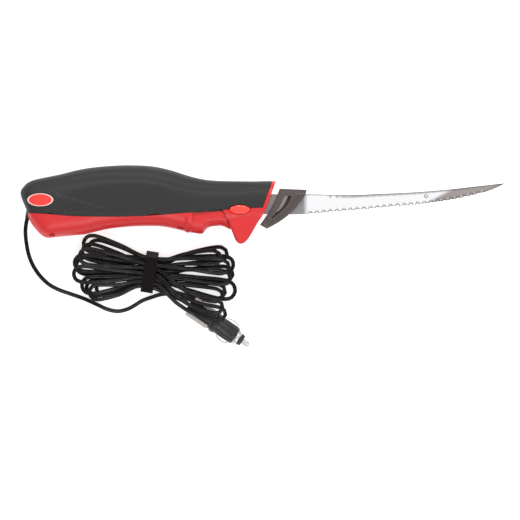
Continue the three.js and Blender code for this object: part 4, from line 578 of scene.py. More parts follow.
# handle casing: both shells share these lines
handle = {
    "half": 24, "wall": 2.5, "power": 1.2,
    "top": [(-248.6, 12.6), (-248, 15), (-245, 19), (-242, 22), (-236, 25), (-223, 28), (-208, 31),
            (-190, 35.5), (-171, 38.5), (-146, 40.3), (-128, 40.3), (-115, 39.5), (-103, 37.5), (-91, 34.4),
            (-78.5, 30.3), (-66, 27), (-54, 25), (-35, 24.2), (20, 24.2)],
    "bottom": [(-248.6, 10.4), (-247.5, 6.5), (-245, 0.5), (-242.6, -5.2), (-241.2, -9.5), (-240, -14.5),
               (-236, -21.6), (-229.5, -29.3), (-224, -33.4), (-220, -34.4), (-211, -33.4), (-196, -32),
               (-183, -30.6), (-171, -27.8), (-159, -25.2), (-146, -23.6), (-134, -22.6), (-115, -22.1),
               (-103, -22.6), (-91, -24.7), (-78.5, -27.2), (-66, -27), (-52, -23.5), (-36, -22), (-12, -20),
               (20, -18)],
    "inset": [(-248.6, 20), (-247.5, 15), (-245, 11), (-242, 8), (-236, 4.6), (-225, 1.6), (-212, 0),
              (-195, -0.9), (-150, -1.2), (-105, -1), (-88, 0), (-70, 1.8), (-54, 3), (-35, 4.2), (-10, 5.4),
              (20, 6.6)],
    "parting": [(-241, -8.7), (-220, -9.8), (-196, -11.8), (-159, -12.5), (-136, -12.3), (-109, -11.1),
                (-85, -9), (-60, -7.2), (-41, -5.7), (-11, -3.6), (4, -3.1)],
    "seam": 0.15, "rimTop": (14, 24.2), "rimFoot": (4.3, -3.1),
}
topLine, bottomLine = smoothLine(handle["top"]), smoothLine(handle["bottom"])
cheekInset, partingLine = smoothLine(handle["inset"]), smoothLine(handle["parting"])
rimSlope = (handle["rimTop"][0] - handle["rimFoot"][0]) / (handle["rimTop"][1] - handle["rimFoot"][1])


def power(v):
    return math.copysign(abs(v) ** (1 / handle["power"]), v)


# middle and half height of the casing seen from the side
def casingSpan(x):
    return (topLine(x) + bottomLine(x)) / 2, (topLine(x) - bottomLine(x)) / 2


def casingAxis(p):
    return Vector((p.x, casingSpan(p.x)[0], midPlane))


def sectionPoint(x, angle, grow=0):
    top, bottom = topLine(x) + grow, bottomLine(x) - grow
    flat = handle["half"] + grow
    z = (flat - cheekInset(x)) * power(math.cos(angle))
    return Vector((x, (top + bottom) / 2 + (top - bottom) / 2 * power(math.sin(angle)),
                   midPlane + min(max(z, -flat), flat)))


# height of the casing over the blades' plane at a place seen from the side
def casingZ(x, y, grow=0):
    middle, tall = casingSpan(x)
    q = min(abs(y - middle) / (tall + grow), 1)
    flat = handle["half"] + grow
    return min((flat - cheekInset(x)) * power(math.sqrt(1 - q ** (2 * handle["power"]))), flat)


def seamAngle(x, y):
    middle, tall = casingSpan(x)
    q = min(max((y - middle) / tall, -1), 1)
    return math.asin(math.copysign(abs(q) ** handle["power"], q))


# height of the casing's underside
def undersideY(x, z):
    middle, tall = casingSpan(x)
    reach = min(abs(z) / (handle["half"] - cheekInset(x)), 1) ** (2 * handle["power"])
    return middle - tall * (1 - reach) ** (0.5 / handle["power"])


button = {"x": -23.4, "y": -5.2, "a": 11, "b": 4.8, "play": 0.45, "hole": (10, 60),
          "dome": [(0, 19.6), (0.3, 19.57), (0.55, 19.42), (0.74, 19.15), (0.87, 18.75), (0.945, 18.3),
                   (0.985, 17.75), (1, 17.1), (1, 14.2), (1.12, 14), (1.12, 12)]}


def buttonCutters():
    halfX, halfY = button["a"] + button["play"], button["b"] + button["play"]
    return [ovalPrism((button["x"], button["y"]), halfX, halfY,
                      *sorted(midPlane + side * z for z in button["hole"])) for side in sides.values()]


# upper shell
upper = {
    "close": [(-248.6, 0), (-248.6, 0.55), (-248.6, 1)],  # rows that close the rear, with their size
    "rear": [-248.45, -248.2, -247.8, -247.3, -246.7, -246, -245.2, -244.4, -243.6, -242.9, -242.3, -241.8,
             -241.4, -241, -240.4],
    "from": -239.6, "front": 0.2, "gap": 1.5, "rows": 60, "leanFrom": -48, "leanOver": 48,
    "slots": [(-220, -214), (-117.5, -106), (-54.8, -41.5)], "slotRise": 1.1, "slotStep": 0.12, "slotClear": 0.5,
    "crease": [(-241, 17), (-200, 24.6), (-165, 29.6), (-140, 30.4), (-114, 28.6), (-94, 24.4), (-70, 19),
               (-37, 17.6), (6, 21)],
    "creaseDeep": 1.6, "creaseWide": 3.6, "creaseRear": (-246, 20), "creaseFront": (4, 16),
}
creaseLine = smoothLine(upper["crease"])


def upperColumns():
    plain = stations(upper["from"], upper["front"], upper["gap"])
    ends = [x + off for pair in upper["slots"] for x in pair for off in (-upper["slotStep"], upper["slotStep"])]
    plain = [x for x in plain if all(abs(x - e) > upper["slotClear"] for e in ends)]
    return upper["close"] + [(x, 1) for x in upper["rear"] + sorted(plain + ends)]


def upperPlace(column, a):
    x, size = column
    y = partingLine(x) + handle["seam"]
    if a in (0, 1) and any(low < x < high for low, high in upper["slots"]):
        y += upper["slotRise"]
    low = seamAngle(x, y)
    angle = low + a * (math.pi - 2 * low)
    p = sectionPoint(x, angle)
    lean = ease((x - upper["leanFrom"]) / upper["leanOver"]) * (p.y - handle["rimFoot"][1]) * rimSlope
    p = sectionPoint(x + lean, angle)
    centre = casingAxis(p)
    off = (p.y - creaseLine(p.x)) / upper["creaseWide"]
    (rear, rearFade), (front, frontFade) = upper["creaseRear"], upper["creaseFront"]
    ends = ease((p.x - rear) / rearFade) * ease((front - p.x) / frontFade)
    deep = upper["creaseDeep"] * math.exp(-off * off) * ends
    return centre + (p - centre) * (size - deep / max((p - centre).length, 1))


upperMesh = gridSkin(upperColumns(), steps(0, 1, upper["rows"]), upperPlace)
turnOut(upperMesh, casingAxis)
upperPiece = newPiece("upperShell", upperMesh, blackShell, "black_shell", ["upper_housing"])
thicken(upperPiece, handle["wall"])
cutOut(upperPiece, buttonCutters())

# grip ribs on both cheeks
ribs = {"count": 13, "first": -212, "last": -163, "topFirst": 13.5, "topLast": -2.5, "foot": -9.2, "lean": 0.46,
        "width": 2.0, "height": 0.85, "rise": 2.5, "fall": 8, "sunk": 0.08, "columns": 24, "rows": 6}


def makeRibs(side):
    whole = bmesh.new()
    for share in steps(0, 1, ribs["count"] - 1):
        x0 = ribs["first"] + share * (ribs["last"] - ribs["first"])
        top = ribs["topFirst"] + share * (ribs["topLast"] - ribs["topFirst"])

        def place(t, w):
            y = top + (ribs["foot"] - top) * t
            x = x0 + ribs["lean"] * (top - ribs["foot"]) * t + w * ribs["width"] / 2
            swell = min(1, ribs["rise"] * t, ribs["fall"] * (1 - t))
            high = ribs["height"] * (1 - w * w) * swell - ribs["sunk"]
            return Vector((x, y, midPlane + side * (casingZ(x, y) + high)))

        addStrip(whole, steps(0, 1, ribs["columns"]), steps(-1, 1, ribs["rows"]), place)
    return whole


for word, side in sides.items():
    newPiece(f"gripRibs_{word}", makeRibs(side), ribShellPaintedLight, "black_shell", ["upper_housing"])
print("upper shell made")

# dark lip of the upper shell behind the parting line
lip = {"inset": 2.9, "up": 2.4, "down": 2.2, "rear": -238.5, "front": -42.3, "gap": 3, "rows": 3}
for word, side in sides.items():
    def lipPlace(x, t):
        y = partingLine(x) + lip["up"] - t * (lip["up"] + lip["down"])
        return Vector((x, y, midPlane + side * casingZ(x, y, -lip["inset"])))

    lipMesh = gridSkin(stations(lip["rear"], lip["front"], lip["gap"]), steps(0, 1, lip["rows"]), lipPlace)
    turnOut(lipMesh, sideAxis)
    newPiece(f"partingLip_{word}", lipMesh, blackShell, "black_shell", ["upper_housing"])

# lower shell behind the trigger
lower = {"rear": -241.35, "front": -72, "gap": 1.4, "rows": 48,
         "bayTop": -23, "bayFade": 2, "baySet": 1.9, "bayFrom": -90, "bayOver": 18,
         "rib": (-78.8, -70.6), "ribTop": -11, "ribFade": 1.5, "ribProud": 1.5,
         "screws": [(-216, 11.5), (-216, -11.5), (-84, 11), (-84, -11)], "screwR": 3.1, "screwSeat": 6,
         "screwFrom": -60, "pillarSunk": 0.1, "pillarWall": 0.8, "pillarSides": 32, "pillarRows": 3}


def lowerPlace(x, a):
    low = seamAngle(x, partingLine(x) - handle["seam"])
    angle = low - a * (math.pi + 2 * low)
    p = sectionPoint(x, angle)
    rise = math.sin(math.pi * shareOf(x, *lower["rib"])) ** 0.5
    p = sectionPoint(x, angle, lower["ribProud"] * rise * ease((lower["ribTop"] - p.y) / lower["ribFade"]))
    deep = ease((lower["bayTop"] - p.y) / lower["bayFade"])
    p.x -= lower["baySet"] * deep * ease((x - lower["bayFrom"]) / lower["bayOver"])
    return p


def screwTop(x):
    return partingLine(x) - lower["screwSeat"]


def screwCutters():
    return [ovalPrism((x, -(midPlane + z)), lower["screwR"], lower["screwR"], lower["screwFrom"], screwTop(x),
                      upright="Y") for x, z in lower["screws"]]


lowerMesh = gridSkin(stations(lower["rear"], lower["front"], lower["gap"]), steps(0, 1, lower["rows"]), lowerPlace)
turnOut(lowerMesh, casingAxis)
lowerPiece = newPiece("lowerShell", lowerMesh, redShell, "red_shell", ["lower_housing"])
thicken(lowerPiece, handle["wall"])
cutOut(lowerPiece, screwCutters())

for i, (screwX, screwZ) in enumerate(lower["screws"]):
    def pillarPlace(angle, t):
        x, z = screwX + lower["screwR"] * math.cos(angle), screwZ + lower["screwR"] * math.sin(angle)
        foot = undersideY(x, z) + lower["pillarSunk"]
        return Vector((x, foot + (screwTop(screwX) - foot) * t, midPlane + z))

    pillar = gridSkin(steps(0, 2 * math.pi, lower["pillarSides"]), steps(0, 1, lower["pillarRows"]), pillarPlace)
    turnOut(pillar, lambda p: Vector((screwX, p.y, midPlane + screwZ)))
    bmesh.ops.reverse_faces(pillar, faces=pillar.faces)
    pillarPiece = newPiece(f"screwPillar_{i + 1}", pillar, redShell, "red_shell", ["lower_housing"])
    thicken(pillarPiece, lower["pillarWall"])

# finger guard in front of the trigger, one block with the lower shell
guard = {
    "outline": [(-40.1, -6.1), (-32.2, -25), (-29.6, -31.5), (-27.6, -36.3), (-25.2, -39.2), (-22, -40.3),
                (-18.8, -39.4), (-15.8, -36.6), (-12.7, -32.4), (-4.5, -18), (1.7, -8.7), (4.3, -3.1)],
    "half": 15.5, "round": 3.5, "columns": 84, "edgeGap": 0.6, "blend": 1.5, "blendHigh": 0.3,
    "down": [0, 0.1, 0.2, 0.3, 0.4, 0.5, 0.6, 0.68, 0.75, 0.81, 0.86, 0.9, 0.925, 0.95, 0.97, 0.985, 0.995, 1],
    "under": (0.6, 0.2, -0.2, -0.6), "middle": (-18, -12, midPlane),
    "mouth": (-31.4, -25.4), "mouthFlat": 0.3, "mouthWall": 4,  # open towards the trigger
}
guardEdge = flatCurve(guard["outline"], guard["edgeGap"])
guardReach = [0]
for a, b in zip(guardEdge, guardEdge[1:]):
    guardReach.append(guardReach[-1] + (b - a).length)


def edgeAt(share):
    goal = share * guardReach[-1]
    i = min(next(k for k, r in enumerate(guardReach) if r >= goal - 1e-6), len(guardEdge) - 1)
    if i == 0:
        return guardEdge[0]
    t = (goal - guardReach[i - 1]) / (guardReach[i] - guardReach[i - 1])
    return guardEdge[i - 1].lerp(guardEdge[i], t)


# lower half of the button's hole
def buttonArch(x):
    across = (x - button["x"]) / (button["a"] + button["play"])
    return button["y"] - (button["b"] + button["play"]) * math.sqrt(1 - across ** 2) if abs(across) < 1 else 0


def guardZ(p):
    near = min((p - q).length for q in guardEdge)
    short = max(guard["round"] - near, 0)
    block = guard["half"] - guard["round"] + math.sqrt(guard["round"] ** 2 - short ** 2)
    shell = casingZ(p.x, p.y)
    blend = max(guard["blend"] - abs(block - shell), 0) / guard["blend"]
    return max(block, shell) + blend ** 2 * guard["blendHigh"]


def guardPlace(s, row):
    part, a = row
    edge = edgeAt(s)
    x = guard["outline"][0][0] + s * (guard["outline"][-1][0] - guard["outline"][0][0])
    top = Vector((x, min(partingLine(x) - handle["seam"], buttonArch(x))))
    p = top.lerp(edge, a if part else 1)
    z = guardZ(p) * (part if part else a)
    return Vector((p.x, p.y, midPlane + z))


def inMouth(face):
    x, y, z = face.calc_center_median()
    deep = abs(z - midPlane) < guard["half"] - guard["mouthWall"]
    return deep and x < guard["mouth"][0] and y > guard["mouth"][1] and abs(face.normal.z) < guard["mouthFlat"]


def makeGuard():
    down = guard["down"]
    rows = [(1, a) for a in down] + [(0, a) for a in guard["under"]] + [(-1, a) for a in reversed(down)]
    mesh = gridSkin(steps(0, 1, guard["columns"]), rows, guardPlace)
    turnOut(mesh, lambda p: Vector(guard["middle"]))
    bmesh.ops.delete(mesh, geom=[f for f in mesh.faces if inMouth(f)], context="FACES")
    return mesh


guardPiece = newPiece("fingerGuard", makeGuard(), redShell, "red_shell", ["lower_housing"], sharp=50)
thicken(guardPiece, handle["wall"])

# slanted front rim with the blades' slot
rim = {"foot": -12.5, "rows": 64, "footRows": 8, "near": 6, "slotHalf": 2.25, "slot": (-10.7, 11.5), "middle": 0.4,
       "coreBack": 2, "coreTall": 0.8, "coreLift": 1,
       "profile": [(0, -3.8), (0, -0.5), (0.03, 0), (0.3, 0), (0.6, 0), (0.93, 0), (0.975, -0.15), (0.995, -0.5),
                   (1.005, -1.0), (1.01, -2), (1.005, -3.1), (0.995, -3.6), (0.97, -3.8), (0.88, -3.8),
                   (0.88, -6.5), (0.8, -6.5)]}
guardFront = straightLine([(y, x) for x, y in [*guard["outline"][8:], handle["rimTop"]]])


# round the casing for shares up to 1, then back along the foot
def rimOuter(a):
    low = seamAngle(0, rim["foot"])
    if a <= 1:
        angle = low + a * (math.pi - 2 * low)
        return sectionPoint(guardFront(sectionPoint(rim["near"], angle).y), angle)
    p = sectionPoint(guardFront(rim["foot"]), low)
    p.z = midPlane + (p.z - midPlane) * (4 * (a - 1) - 1)
    return p


def rimPlace(station, a):
    share, back = station
    out = rimOuter(a)
    centre = Vector((0, rim["middle"], midPlane))
    way = Vector((0, out.y - centre.y, out.z - centre.z))
    tall = rim["slot"][1] - centre.y if way.y > 0 else centre.y - rim["slot"][0]
    inner = way / max(abs(way.y) / tall, abs(way.z) / rim["slotHalf"])
    y, z = centre.y + inner.y, centre.z + inner.z
    y, z = y + (out.y - y) * share, z + (out.z - z) * share
    return Vector((guardFront(y) + back, y, z))


def rimCore(p):
    return Vector((guardFront(p.y) - rim["coreBack"], p.y * rim["coreTall"] + rim["coreLift"], midPlane))


rimRows = steps(0, 1, rim["rows"]) + steps(1, 1.5, rim["footRows"])[1:]
rimMesh = gridSkin(rim["profile"], rimRows, rimPlace)
turnOut(rimMesh, rimCore)
newPiece("frontRim", rimMesh, redShell, "red_shell", ["lower_housing"], sharp=50)
print("lower shell made")

# trigger paddle
trigger = {
    "line": [(-73.9, -28.8), (-68, -29.6), (-63.5, -30.1), (-60.8, -29.4), (-58.6, -26.5), (-56, -24),
             (-52, -22.6), (-47.6, -22.1), (-43, -21.8), (-38, -23.2), (-33, -26)],
    "inset": 3.5, "rise": 1.7, "dip": 0.9, "dipFrom": -56.4, "dipOver": 1.8, "shoulder": 3, "flank": 0.1,
    "rear": -73.65, "rearTongue": 3, "rearFloor": -23.3, "rearNarrow": 0.86,
    "frontTop": (-40.5, -6.1), "frontLow": (-33.2, -25),
    "frontTongue": 4.5, "frontFloor": -24.8, "frontNarrow": 0.62,
    "wall": 2, "columns": 58, "rows": 36, "sharp": 45, "middle": (-55, -10, midPlane),
}
triggerLine = smoothLine(trigger["line"])


def triggerRing(x, a):
    half = handle["half"] - cheekInset(x) - trigger["inset"]
    parting, flank = partingLine(x), trigger["flank"]
    dip = ease((x - trigger["dipFrom"]) / trigger["dipOver"])
    edge = parting + trigger["rise"] - (trigger["rise"] + trigger["dip"]) * dip
    shoulder = parting - trigger["shoulder"]
    if a < flank or a > 1 - flank:
        t = min(a, 1 - a) / flank
        return edge + (shoulder - edge) * t, math.copysign(half, 0.5 - a)
    angle = math.pi * (a - flank) / (1 - 2 * flank)
    return shoulder - (shoulder - triggerLine(x)) * power(math.sin(angle)), half * power(math.cos(angle))


def triggerFront(y):
    (x0, y0), (x1, y1) = trigger["frontTop"], trigger["frontLow"]
    return x0 + (x1 - x0) * shareOf(y, y0, y1)


# narrower tongues at both ends run inside the shells
def triggerPlace(s, a):
    inner = min(max(s, 0), 1)
    x = trigger["rear"] + inner * (trigger["frontLow"][0] - trigger["rear"])
    for _ in range(3):
        y, z = triggerRing(x, a)
        x = trigger["rear"] + inner * (triggerFront(y) - trigger["rear"])
    if s < 0:
        x, y, z = x + trigger["rearTongue"] * s, max(y, trigger["rearFloor"]), trigger["rearNarrow"] * z
    if s > 1:
        x, y, z = x + trigger["frontTongue"] * (s - 1), max(y, trigger["frontFloor"]), trigger["frontNarrow"] * z
    return Vector((x, y, midPlane + z))


triggerColumns = [-1, -0.01] + steps(0, 1, trigger["columns"]) + [1.01, 2]
triggerMesh = gridSkin(triggerColumns, steps(0, 1, trigger["rows"]), triggerPlace)
turnOut(triggerMesh, lambda p: Vector(trigger["middle"]))
triggerPiece = newPiece("triggerPaddle", triggerMesh, redShell, "red_shell", ["trigger"], sharp=trigger["sharp"])
thicken(triggerPiece, trigger["wall"], trigger["sharp"])
print("trigger made")


# release buttons and oval badges
def ovalDome(shape, profile, height, count):
    def place(station, angle):
        share, offset = station
        x = shape["x"] + shape["a"] * share * math.cos(angle)
        y = shape["y"] + shape["b"] * share * math.sin(angle)
        return Vector((x, y, midPlane + height(x, y, offset)))

    return gridSkin(profile, steps(0, 2 * math.pi, count), place)


badge = {"x": -227.8, "y": 4.7, "a": 13.4, "b": 6.6,
         "plate": [(0, 0.3), (0.3, 0.3), (0.6, 0.3), (0.8, 0.3), (0.9, 0.3), (0.9, -0.7)],
         "border": [(0.885, -0.7), (0.885, 0.35), (0.9, 0.55), (0.925, 0.66), (0.955, 0.66), (0.985, 0.5),
                    (1, 0.2), (1, -0.7)]}
badgeLayers = {"plate": ("badgeField", badgeRed), "border": ("badgeBorder", badgePale)}
for word, side in sides.items():
    dome = ovalDome(button, button["dome"], lambda x, y, h: side * h, 56)
    newPiece(f"releaseButton_{word}", dome, buttonGloss, "button_plastic", [f"release_button_{word}"], sharp=60)
    for layer, (name, finish) in badgeLayers.items():
        oval = ovalDome(badge, badge[layer], lambda x, y, h: side * casingZ(x, y, h), 72)
        turnOut(oval, sideAxis)
        newPiece(f"{name}_{word}", oval, finish, "red_shell", [f"badge_{word}"])
print("buttons and badges made")

# blades
blade = {
    "spine": [(-3, 10.6), (46, 10.6), (89, 9.8), (119, 11), (157, 12.8), (194, 15.8), (224, 19.2), (248.6, 21.9)],
    "edge": [(-3, -9.8), (46, -9.8), (73.6, -7.5), (104, -5.2), (134, -2.3), (164, 0.4), (194, 4.5), (209, 7.6),
             (224, 11.3), (239, 16.7), (248.6, 21.3)],
    "inner": 0.15, "outer": 1.35, "keen": 0.4, "chamfer": 0.5, "tang": (-34, -3), "tangY": (-3.6, 4.2),
    "heel": 47, "tip": 248.6, "plainGap": 5, "tipGap": 1.2,
    "tooth": 6.9, "teeth": 26, "perTooth": 16, "depth": 1.3,
    "gullets": [(0, 0.6, 0.9), (0.6, 0.4, 0.45)], "gulletPower": 0.75,  # start, width and depth in one tooth
    "groundFrom": 46, "grind": 1.6, "grindWave": 1.5, "grindMost": 0.8, "leastTall": 0.05,
    "flatRows": (0, 0.04, 0.07, 0.3, 0.6, 0.85, 1), "groundRows": (0.35, 0.7, 1), "insideRows": (0, 0.5, 1),
    # the spine's edge and the blade behind the teeth take this share of the painted shade
    "spineBand": 1, "spinePaintedShade": 0.8,
}
spineLine, edgeLine = smoothLine(blade["spine"]), smoothLine(blade["edge"])


def toothHollow(x):
    place = (x - blade["heel"]) / blade["tooth"]
    if place < 0 or place > blade["teeth"]:
        return 0
    share = place % 1
    long, short = blade["gullets"]
    start, width, deep = long if share < short[0] else short
    return deep * math.sin(math.pi * (share - start) / width) ** blade["gulletPower"]


def bladeColumns():
    toothEnd = blade["heel"] + blade["teeth"] * blade["tooth"]
    plain = stations(blade["tang"][1], blade["heel"], blade["plainGap"])
    toothed = stations(blade["heel"], toothEnd, blade["tooth"] / blade["perTooth"])[1:]
    tip = stations(toothEnd, blade["tip"], blade["tipGap"])[1:]
    return [(x, 0) for x in blade["tang"]] + [(x, 1) for x in plain + toothed + tip]


def bladePlace(column, row, side):
    x, full = column
    kind, share = row
    top, foot = (spineLine(x), edgeLine(x)) if full else (blade["tangY"][1], blade["tangY"][0])
    isGround = x > blade["groundFrom"]
    keen = foot + blade["depth"] * toothHollow(x) * full
    room = max(top - keen, blade["leastTall"])
    wave = blade["grind"] + blade["grindWave"] * toothHollow(x)
    ground = min(keen + wave * isGround, keen + blade["grindMost"] * room)
    if kind == "flat":
        y, z = top + (ground - top) * share, blade["outer"]
        if share == 0:
            y, z = top, blade["outer"] - blade["chamfer"]
    elif kind == "ground":
        thin = (blade["outer"] - blade["keen"]) * share * isGround
        y, z = ground + (keen - ground) * share, blade["outer"] - thin
    else:
        y, z = keen + (top - keen) * share, blade["inner"]
    return Vector((x, y, midPlane + side * z))


def makeBlade(side):
    rows = [(kind, s) for kind in ("flat", "ground", "inside") for s in blade[f"{kind}Rows"]] + [("flat", 0)]
    mesh = gridSkin(bladeColumns(), rows, lambda c, r: bladePlace(c, r, side))
    closeEnds(mesh)
    return mesh


# bright steel with painted shade: darker beyond a slanted line near the tip, where the bright reflection ends, and
# darker along the ground strip, the spine's edge and the blade behind the teeth
def makeBladeSteel():
    finish, tree, skin = startFinish("bladeSteel")
    place = addNode(tree, "TexCoord")
    axis = addNode(tree, "SeparateXYZ")
    lean = addNode(tree, "Math", {1: 1.9}, operation="MULTIPLY")
    slanted = addNode(tree, "Math", operation="SUBTRACT")
    paintedTipShade = addNode(tree, "MapRange", {"From Min": 0.161, "From Max": 0.17}, interpolation_type="SMOOTHSTEP")
    paintedLightMix = addNode(tree, "Mix", {"A": tint(238, 237, 239), "B": tint(158, 151, 148)}, data_type="RGBA")
    tone = placeGroup(tree, toneDrift, {"Amount": 0.08, "Scale": 40})
    ground = addNode(tree, "Attribute", attribute_name="ground")
    share = addNode(tree, "Math", {1: 0.95}, operation="MULTIPLY")
    # the ground mark darkens the steel: painted shade for the darker reflections of the ground strip and the
    # spine's edge
    bladePaintedShade = addNode(tree, "Mix", {"B": tint(84, 83, 84)}, data_type="RGBA")
    grain = placeGroup(tree, drawnLines, {"Stretch": (14, 1500, 1500)})
    gloss = addNode(tree, "MapRange", {"From Min": drawn["low"], "From Max": drawn["high"], "To Min": 0.14,
                                       "To Max": 0.24})
    extra = addNode(tree, "Math", {1: 0.2}, operation="MULTIPLY")
    rough = addNode(tree, "Math", operation="ADD")
    relief = addNode(tree, "Bump", {"Strength": 0.3, "Distance": 0.006 * mm})
    joinNodes(tree, (place, "Object", axis, 0), (axis, "X", slanted, 0), (axis, "Y", lean, 0),
              (lean, 0, slanted, 1), (slanted, 0, paintedTipShade, "Value"), (paintedTipShade, 0, paintedLightMix, "Factor"),
              (paintedLightMix, "Result", tone, "Color"),
              (tone, "Color", bladePaintedShade, "A"), (ground, "Fac", share, 0), (share, 0, bladePaintedShade, "Factor"),
              (bladePaintedShade, "Result", skin, "Base Color"), (grain, "Value", gloss, "Value"), (ground, "Fac", extra, 0),
              (gloss, 0, rough, 0), (extra, 0, rough, 1), (rough, 0, skin, "Roughness"),
              (grain, "Value", relief, "Height"), (relief, "Normal", skin, "Normal"))
    setInputs(skin, {"Metallic": 1})
    return finish


# marks the ground strip along the teeth, and with one fixed value the spine's edge and the blade behind the teeth;
# the steel draws painted shade and extra roughness from it
def markGroundAndPaintedShade(piece):
    mark = piece.data.attributes.new("ground", "FLOAT", "POINT")
    for v, value in zip(piece.data.vertices, mark.data):
        x, y, z = v.co / mm
        away = shareOf(blade["outer"] - abs(z - midPlane), 0, blade["outer"] - blade["keen"])
        along = x > blade["groundFrom"] and y < spineLine(x) - blade["spineBand"]
        value.value = away if along else blade["spinePaintedShade"]


bladeSteel = makeBladeSteel()
for word, side in sides.items():
    bladePiece = newPiece(f"blade_{word}_toothed", makeBlade(side), bladeSteel, "blade_steel", [f"blade_{word}"],
                          sharp=20)
    markGroundAndPaintedShade(bladePiece)

# rivet with two domed heads, each in a ring
rivet = {"x": 168.3, "y": 8.6, "sides": 32,
         "head": [(-2.2, 0), (-2.17, 0.8), (-2.05, 1.2), (-1.8, 1.5), (-1.65, 1.5), (-1.65, 1)],
         "ring": [(1.4, 1.5), (1.78, 1.5), (1.84, 1.75), (1.78, 2.05), (1.4, 2.05), (1.4, 1.5)]}
rivetTurn = Matrix.Translation((rivet["x"], rivet["y"], midPlane)) @ Matrix.Rotation(math.radians(-90), 4, "Y")
rivetProfile = rivet["head"] + [(-x, r) for x, r in reversed(rivet["head"])]
rivetMesh = lathe(rivetProfile, rivetTurn, rivet["sides"])
newPiece("bladeRivet", rivetMesh, plainSteel, "plain_steel", ["blade_rivet"])
for word, side in sides.items():
    ringMesh = lathe([(-side * x, r) for x, r in rivet["ring"]], rivetTurn, rivet["sides"])
    newPiece(f"bladeRivetRing_{word}", ringMesh, darkSteel, "plain_steel", ["blade_rivet"])
print("blades made")

# guards moulded on the blades, with a window and fine ribs along the front
collar = {
    "outline": [[(16, 11.9), (17.8, 16.3)], [(17.8, 16.3), (45.5, 15.2)],
                [(45.5, 15.2), (44.9, 11.5), (41.6, 6), (37, 0), (31.8, -6.2), (26, -11.4), (20.6, -15.6),
                 (15, -19.2), (9.4, -22.4), (4.5, -24.8)],
                [(4.5, -24.8), (-2.4, -20.9)], [(-2.4, -20.9), (3.6, -12.4), (9, -4.1), (13, 4), (16, 11.9)]],
    "window": [[(9.7, -14.1), (14.8, -6.2), (19.2, 2), (22.6, 9.7)], [(22.6, 9.7), (29.8, 8.3)],
               [(29.8, 8.3), (28, 3.2), (25, -1.3), (18.2, -8), (9.7, -14.1)]],
    "near": 0.3, "far": 8, "bevel": 0.7, "bevelSteps": 3, "loopGap": 1.6,
    "ribs": (1.9, 3.2, 4.5, 5.8, 7.1, 8.4), "ribGap": 1.2, "ribWide": 0.85, "ribHigh": 0.75, "ribSunk": 0.05,
    "ribTop": 12.4, "ribClear": 1.3, "ribLeast": 3,
    "slopeTop": [(29.8, 8.3), (28, 3.2), (25, -1.3), (18.2, -8), (9.7, -14.1)],
    "slopeFoot": [(27, 9.2), (23.7, 2.6), (19.6, -3.8), (12.3, -10.4), (9.9, -13.6)], "slope": (7.5, 1.7),
    "slopeGap": 0.5, "slopeWall": 0.6, "slopeFrom": (6, -6),
}


def loopOf(runs):
    loop = []
    for run in runs:
        line = flatCurve(run, collar["loopGap"]) if len(run) > 2 else [Vector(p) for p in run]
        loop += line[:-1]
    return loop


collarLoop, windowLoop = loopOf(collar["outline"]), loopOf(collar["window"])


def collarMesh():
    curve = bpy.data.curves.new("collarLine", "CURVE")
    curve.dimensions = "2D"
    curve.fill_mode = "BOTH"
    curve.extrude = (collar["far"] - collar["near"]) / 2 - collar["bevel"]
    curve.bevel_depth = collar["bevel"]
    curve.bevel_resolution = collar["bevelSteps"]
    curve.offset = -collar["bevel"]
    for loop in (collarLoop, windowLoop):
        spline = curve.splines.new("POLY")
        spline.points.add(len(loop) - 1)
        spline.use_cyclic_u = True
        for point, p in zip(spline.points, loop):
            point.co = (p.x, p.y, 0, 1)
    holder = bpy.data.objects.new("collarLine", curve)
    scene.collection.objects.link(holder)
    graph = bpy.context.evaluated_depsgraph_get()
    data = bpy.data.meshes.new_from_object(holder.evaluated_get(graph))
    bpy.data.objects.remove(holder)
    mesh = bmesh.new()
    mesh.from_mesh(data)
    bpy.data.meshes.remove(data)
    bmesh.ops.remove_doubles(mesh, verts=mesh.verts, dist=weldGap)
    bmesh.ops.recalc_face_normals(mesh, faces=mesh.faces)
    return mesh


def insideLoop(p, loop):
    inside = False
    for a, b in zip(loop, loop[1:] + loop[:1]):
        if (a.y > p.y) != (b.y > p.y) and p.x < a.x + (p.y - a.y) * (b.x - a.x) / (b.y - a.y):
            inside = not inside
    return inside


def insideCollar(p):
    clear = min((p - q).length for q in windowLoop + collarLoop) > collar["ribClear"]
    return clear and insideLoop(p, collarLoop) and not insideLoop(p, windowLoop)


def addRib(whole, line, side):
    last = len(line) - 1

    def place(i, w):
        p = line[i] + rightOf(wayAt(line, i)) * w * collar["ribWide"] / 2
        high = collar["ribHigh"] * (1 - w * w) * min(1, i / 2, (last - i) / 2) - collar["ribSunk"]
        return Vector((p.x, p.y, midPlane + side * (collar["far"] + high)))

    addStrip(whole, list(range(len(line))), steps(-1, 1, 4), place)


# ribs follow the front edge and break where they would leave the guard's face
def collarRibs(side):
    front = flatCurve(collar["outline"][2], collar["ribGap"])
    whole = bmesh.new()
    for inset in collar["ribs"]:
        line = [p + rightOf(wayAt(front, i)) * inset for i, p in enumerate(front)]
        kept = [i for i, p in enumerate(line) if p.y < collar["ribTop"] and insideCollar(p)]
        runs = {}
        for order, i in enumerate(kept):
            runs.setdefault(i - order, []).append(line[i])
        for run in runs.values():
            if len(run) > collar["ribLeast"]:
                addRib(whole, run, side)
    return whole


def windowSlope(side):
    lines = [flatCurve(collar[key], collar["slopeGap"]) for key in ("slopeTop", "slopeFoot")]
    top, foot = collar["slope"]
    offX, offY = collar["slopeFrom"]

    def place(s, t):
        high, low = [line[round(s * (len(line) - 1))] for line in lines]
        p = high.lerp(low, t)
        return Vector((p.x, p.y, midPlane + side * (top + (foot - top) * t)))

    mesh = gridSkin(steps(0, 1, 30), steps(0, 1, 4), place)
    turnOut(mesh, lambda p: Vector((p.x + offX, p.y + offY, midPlane)))
    return mesh


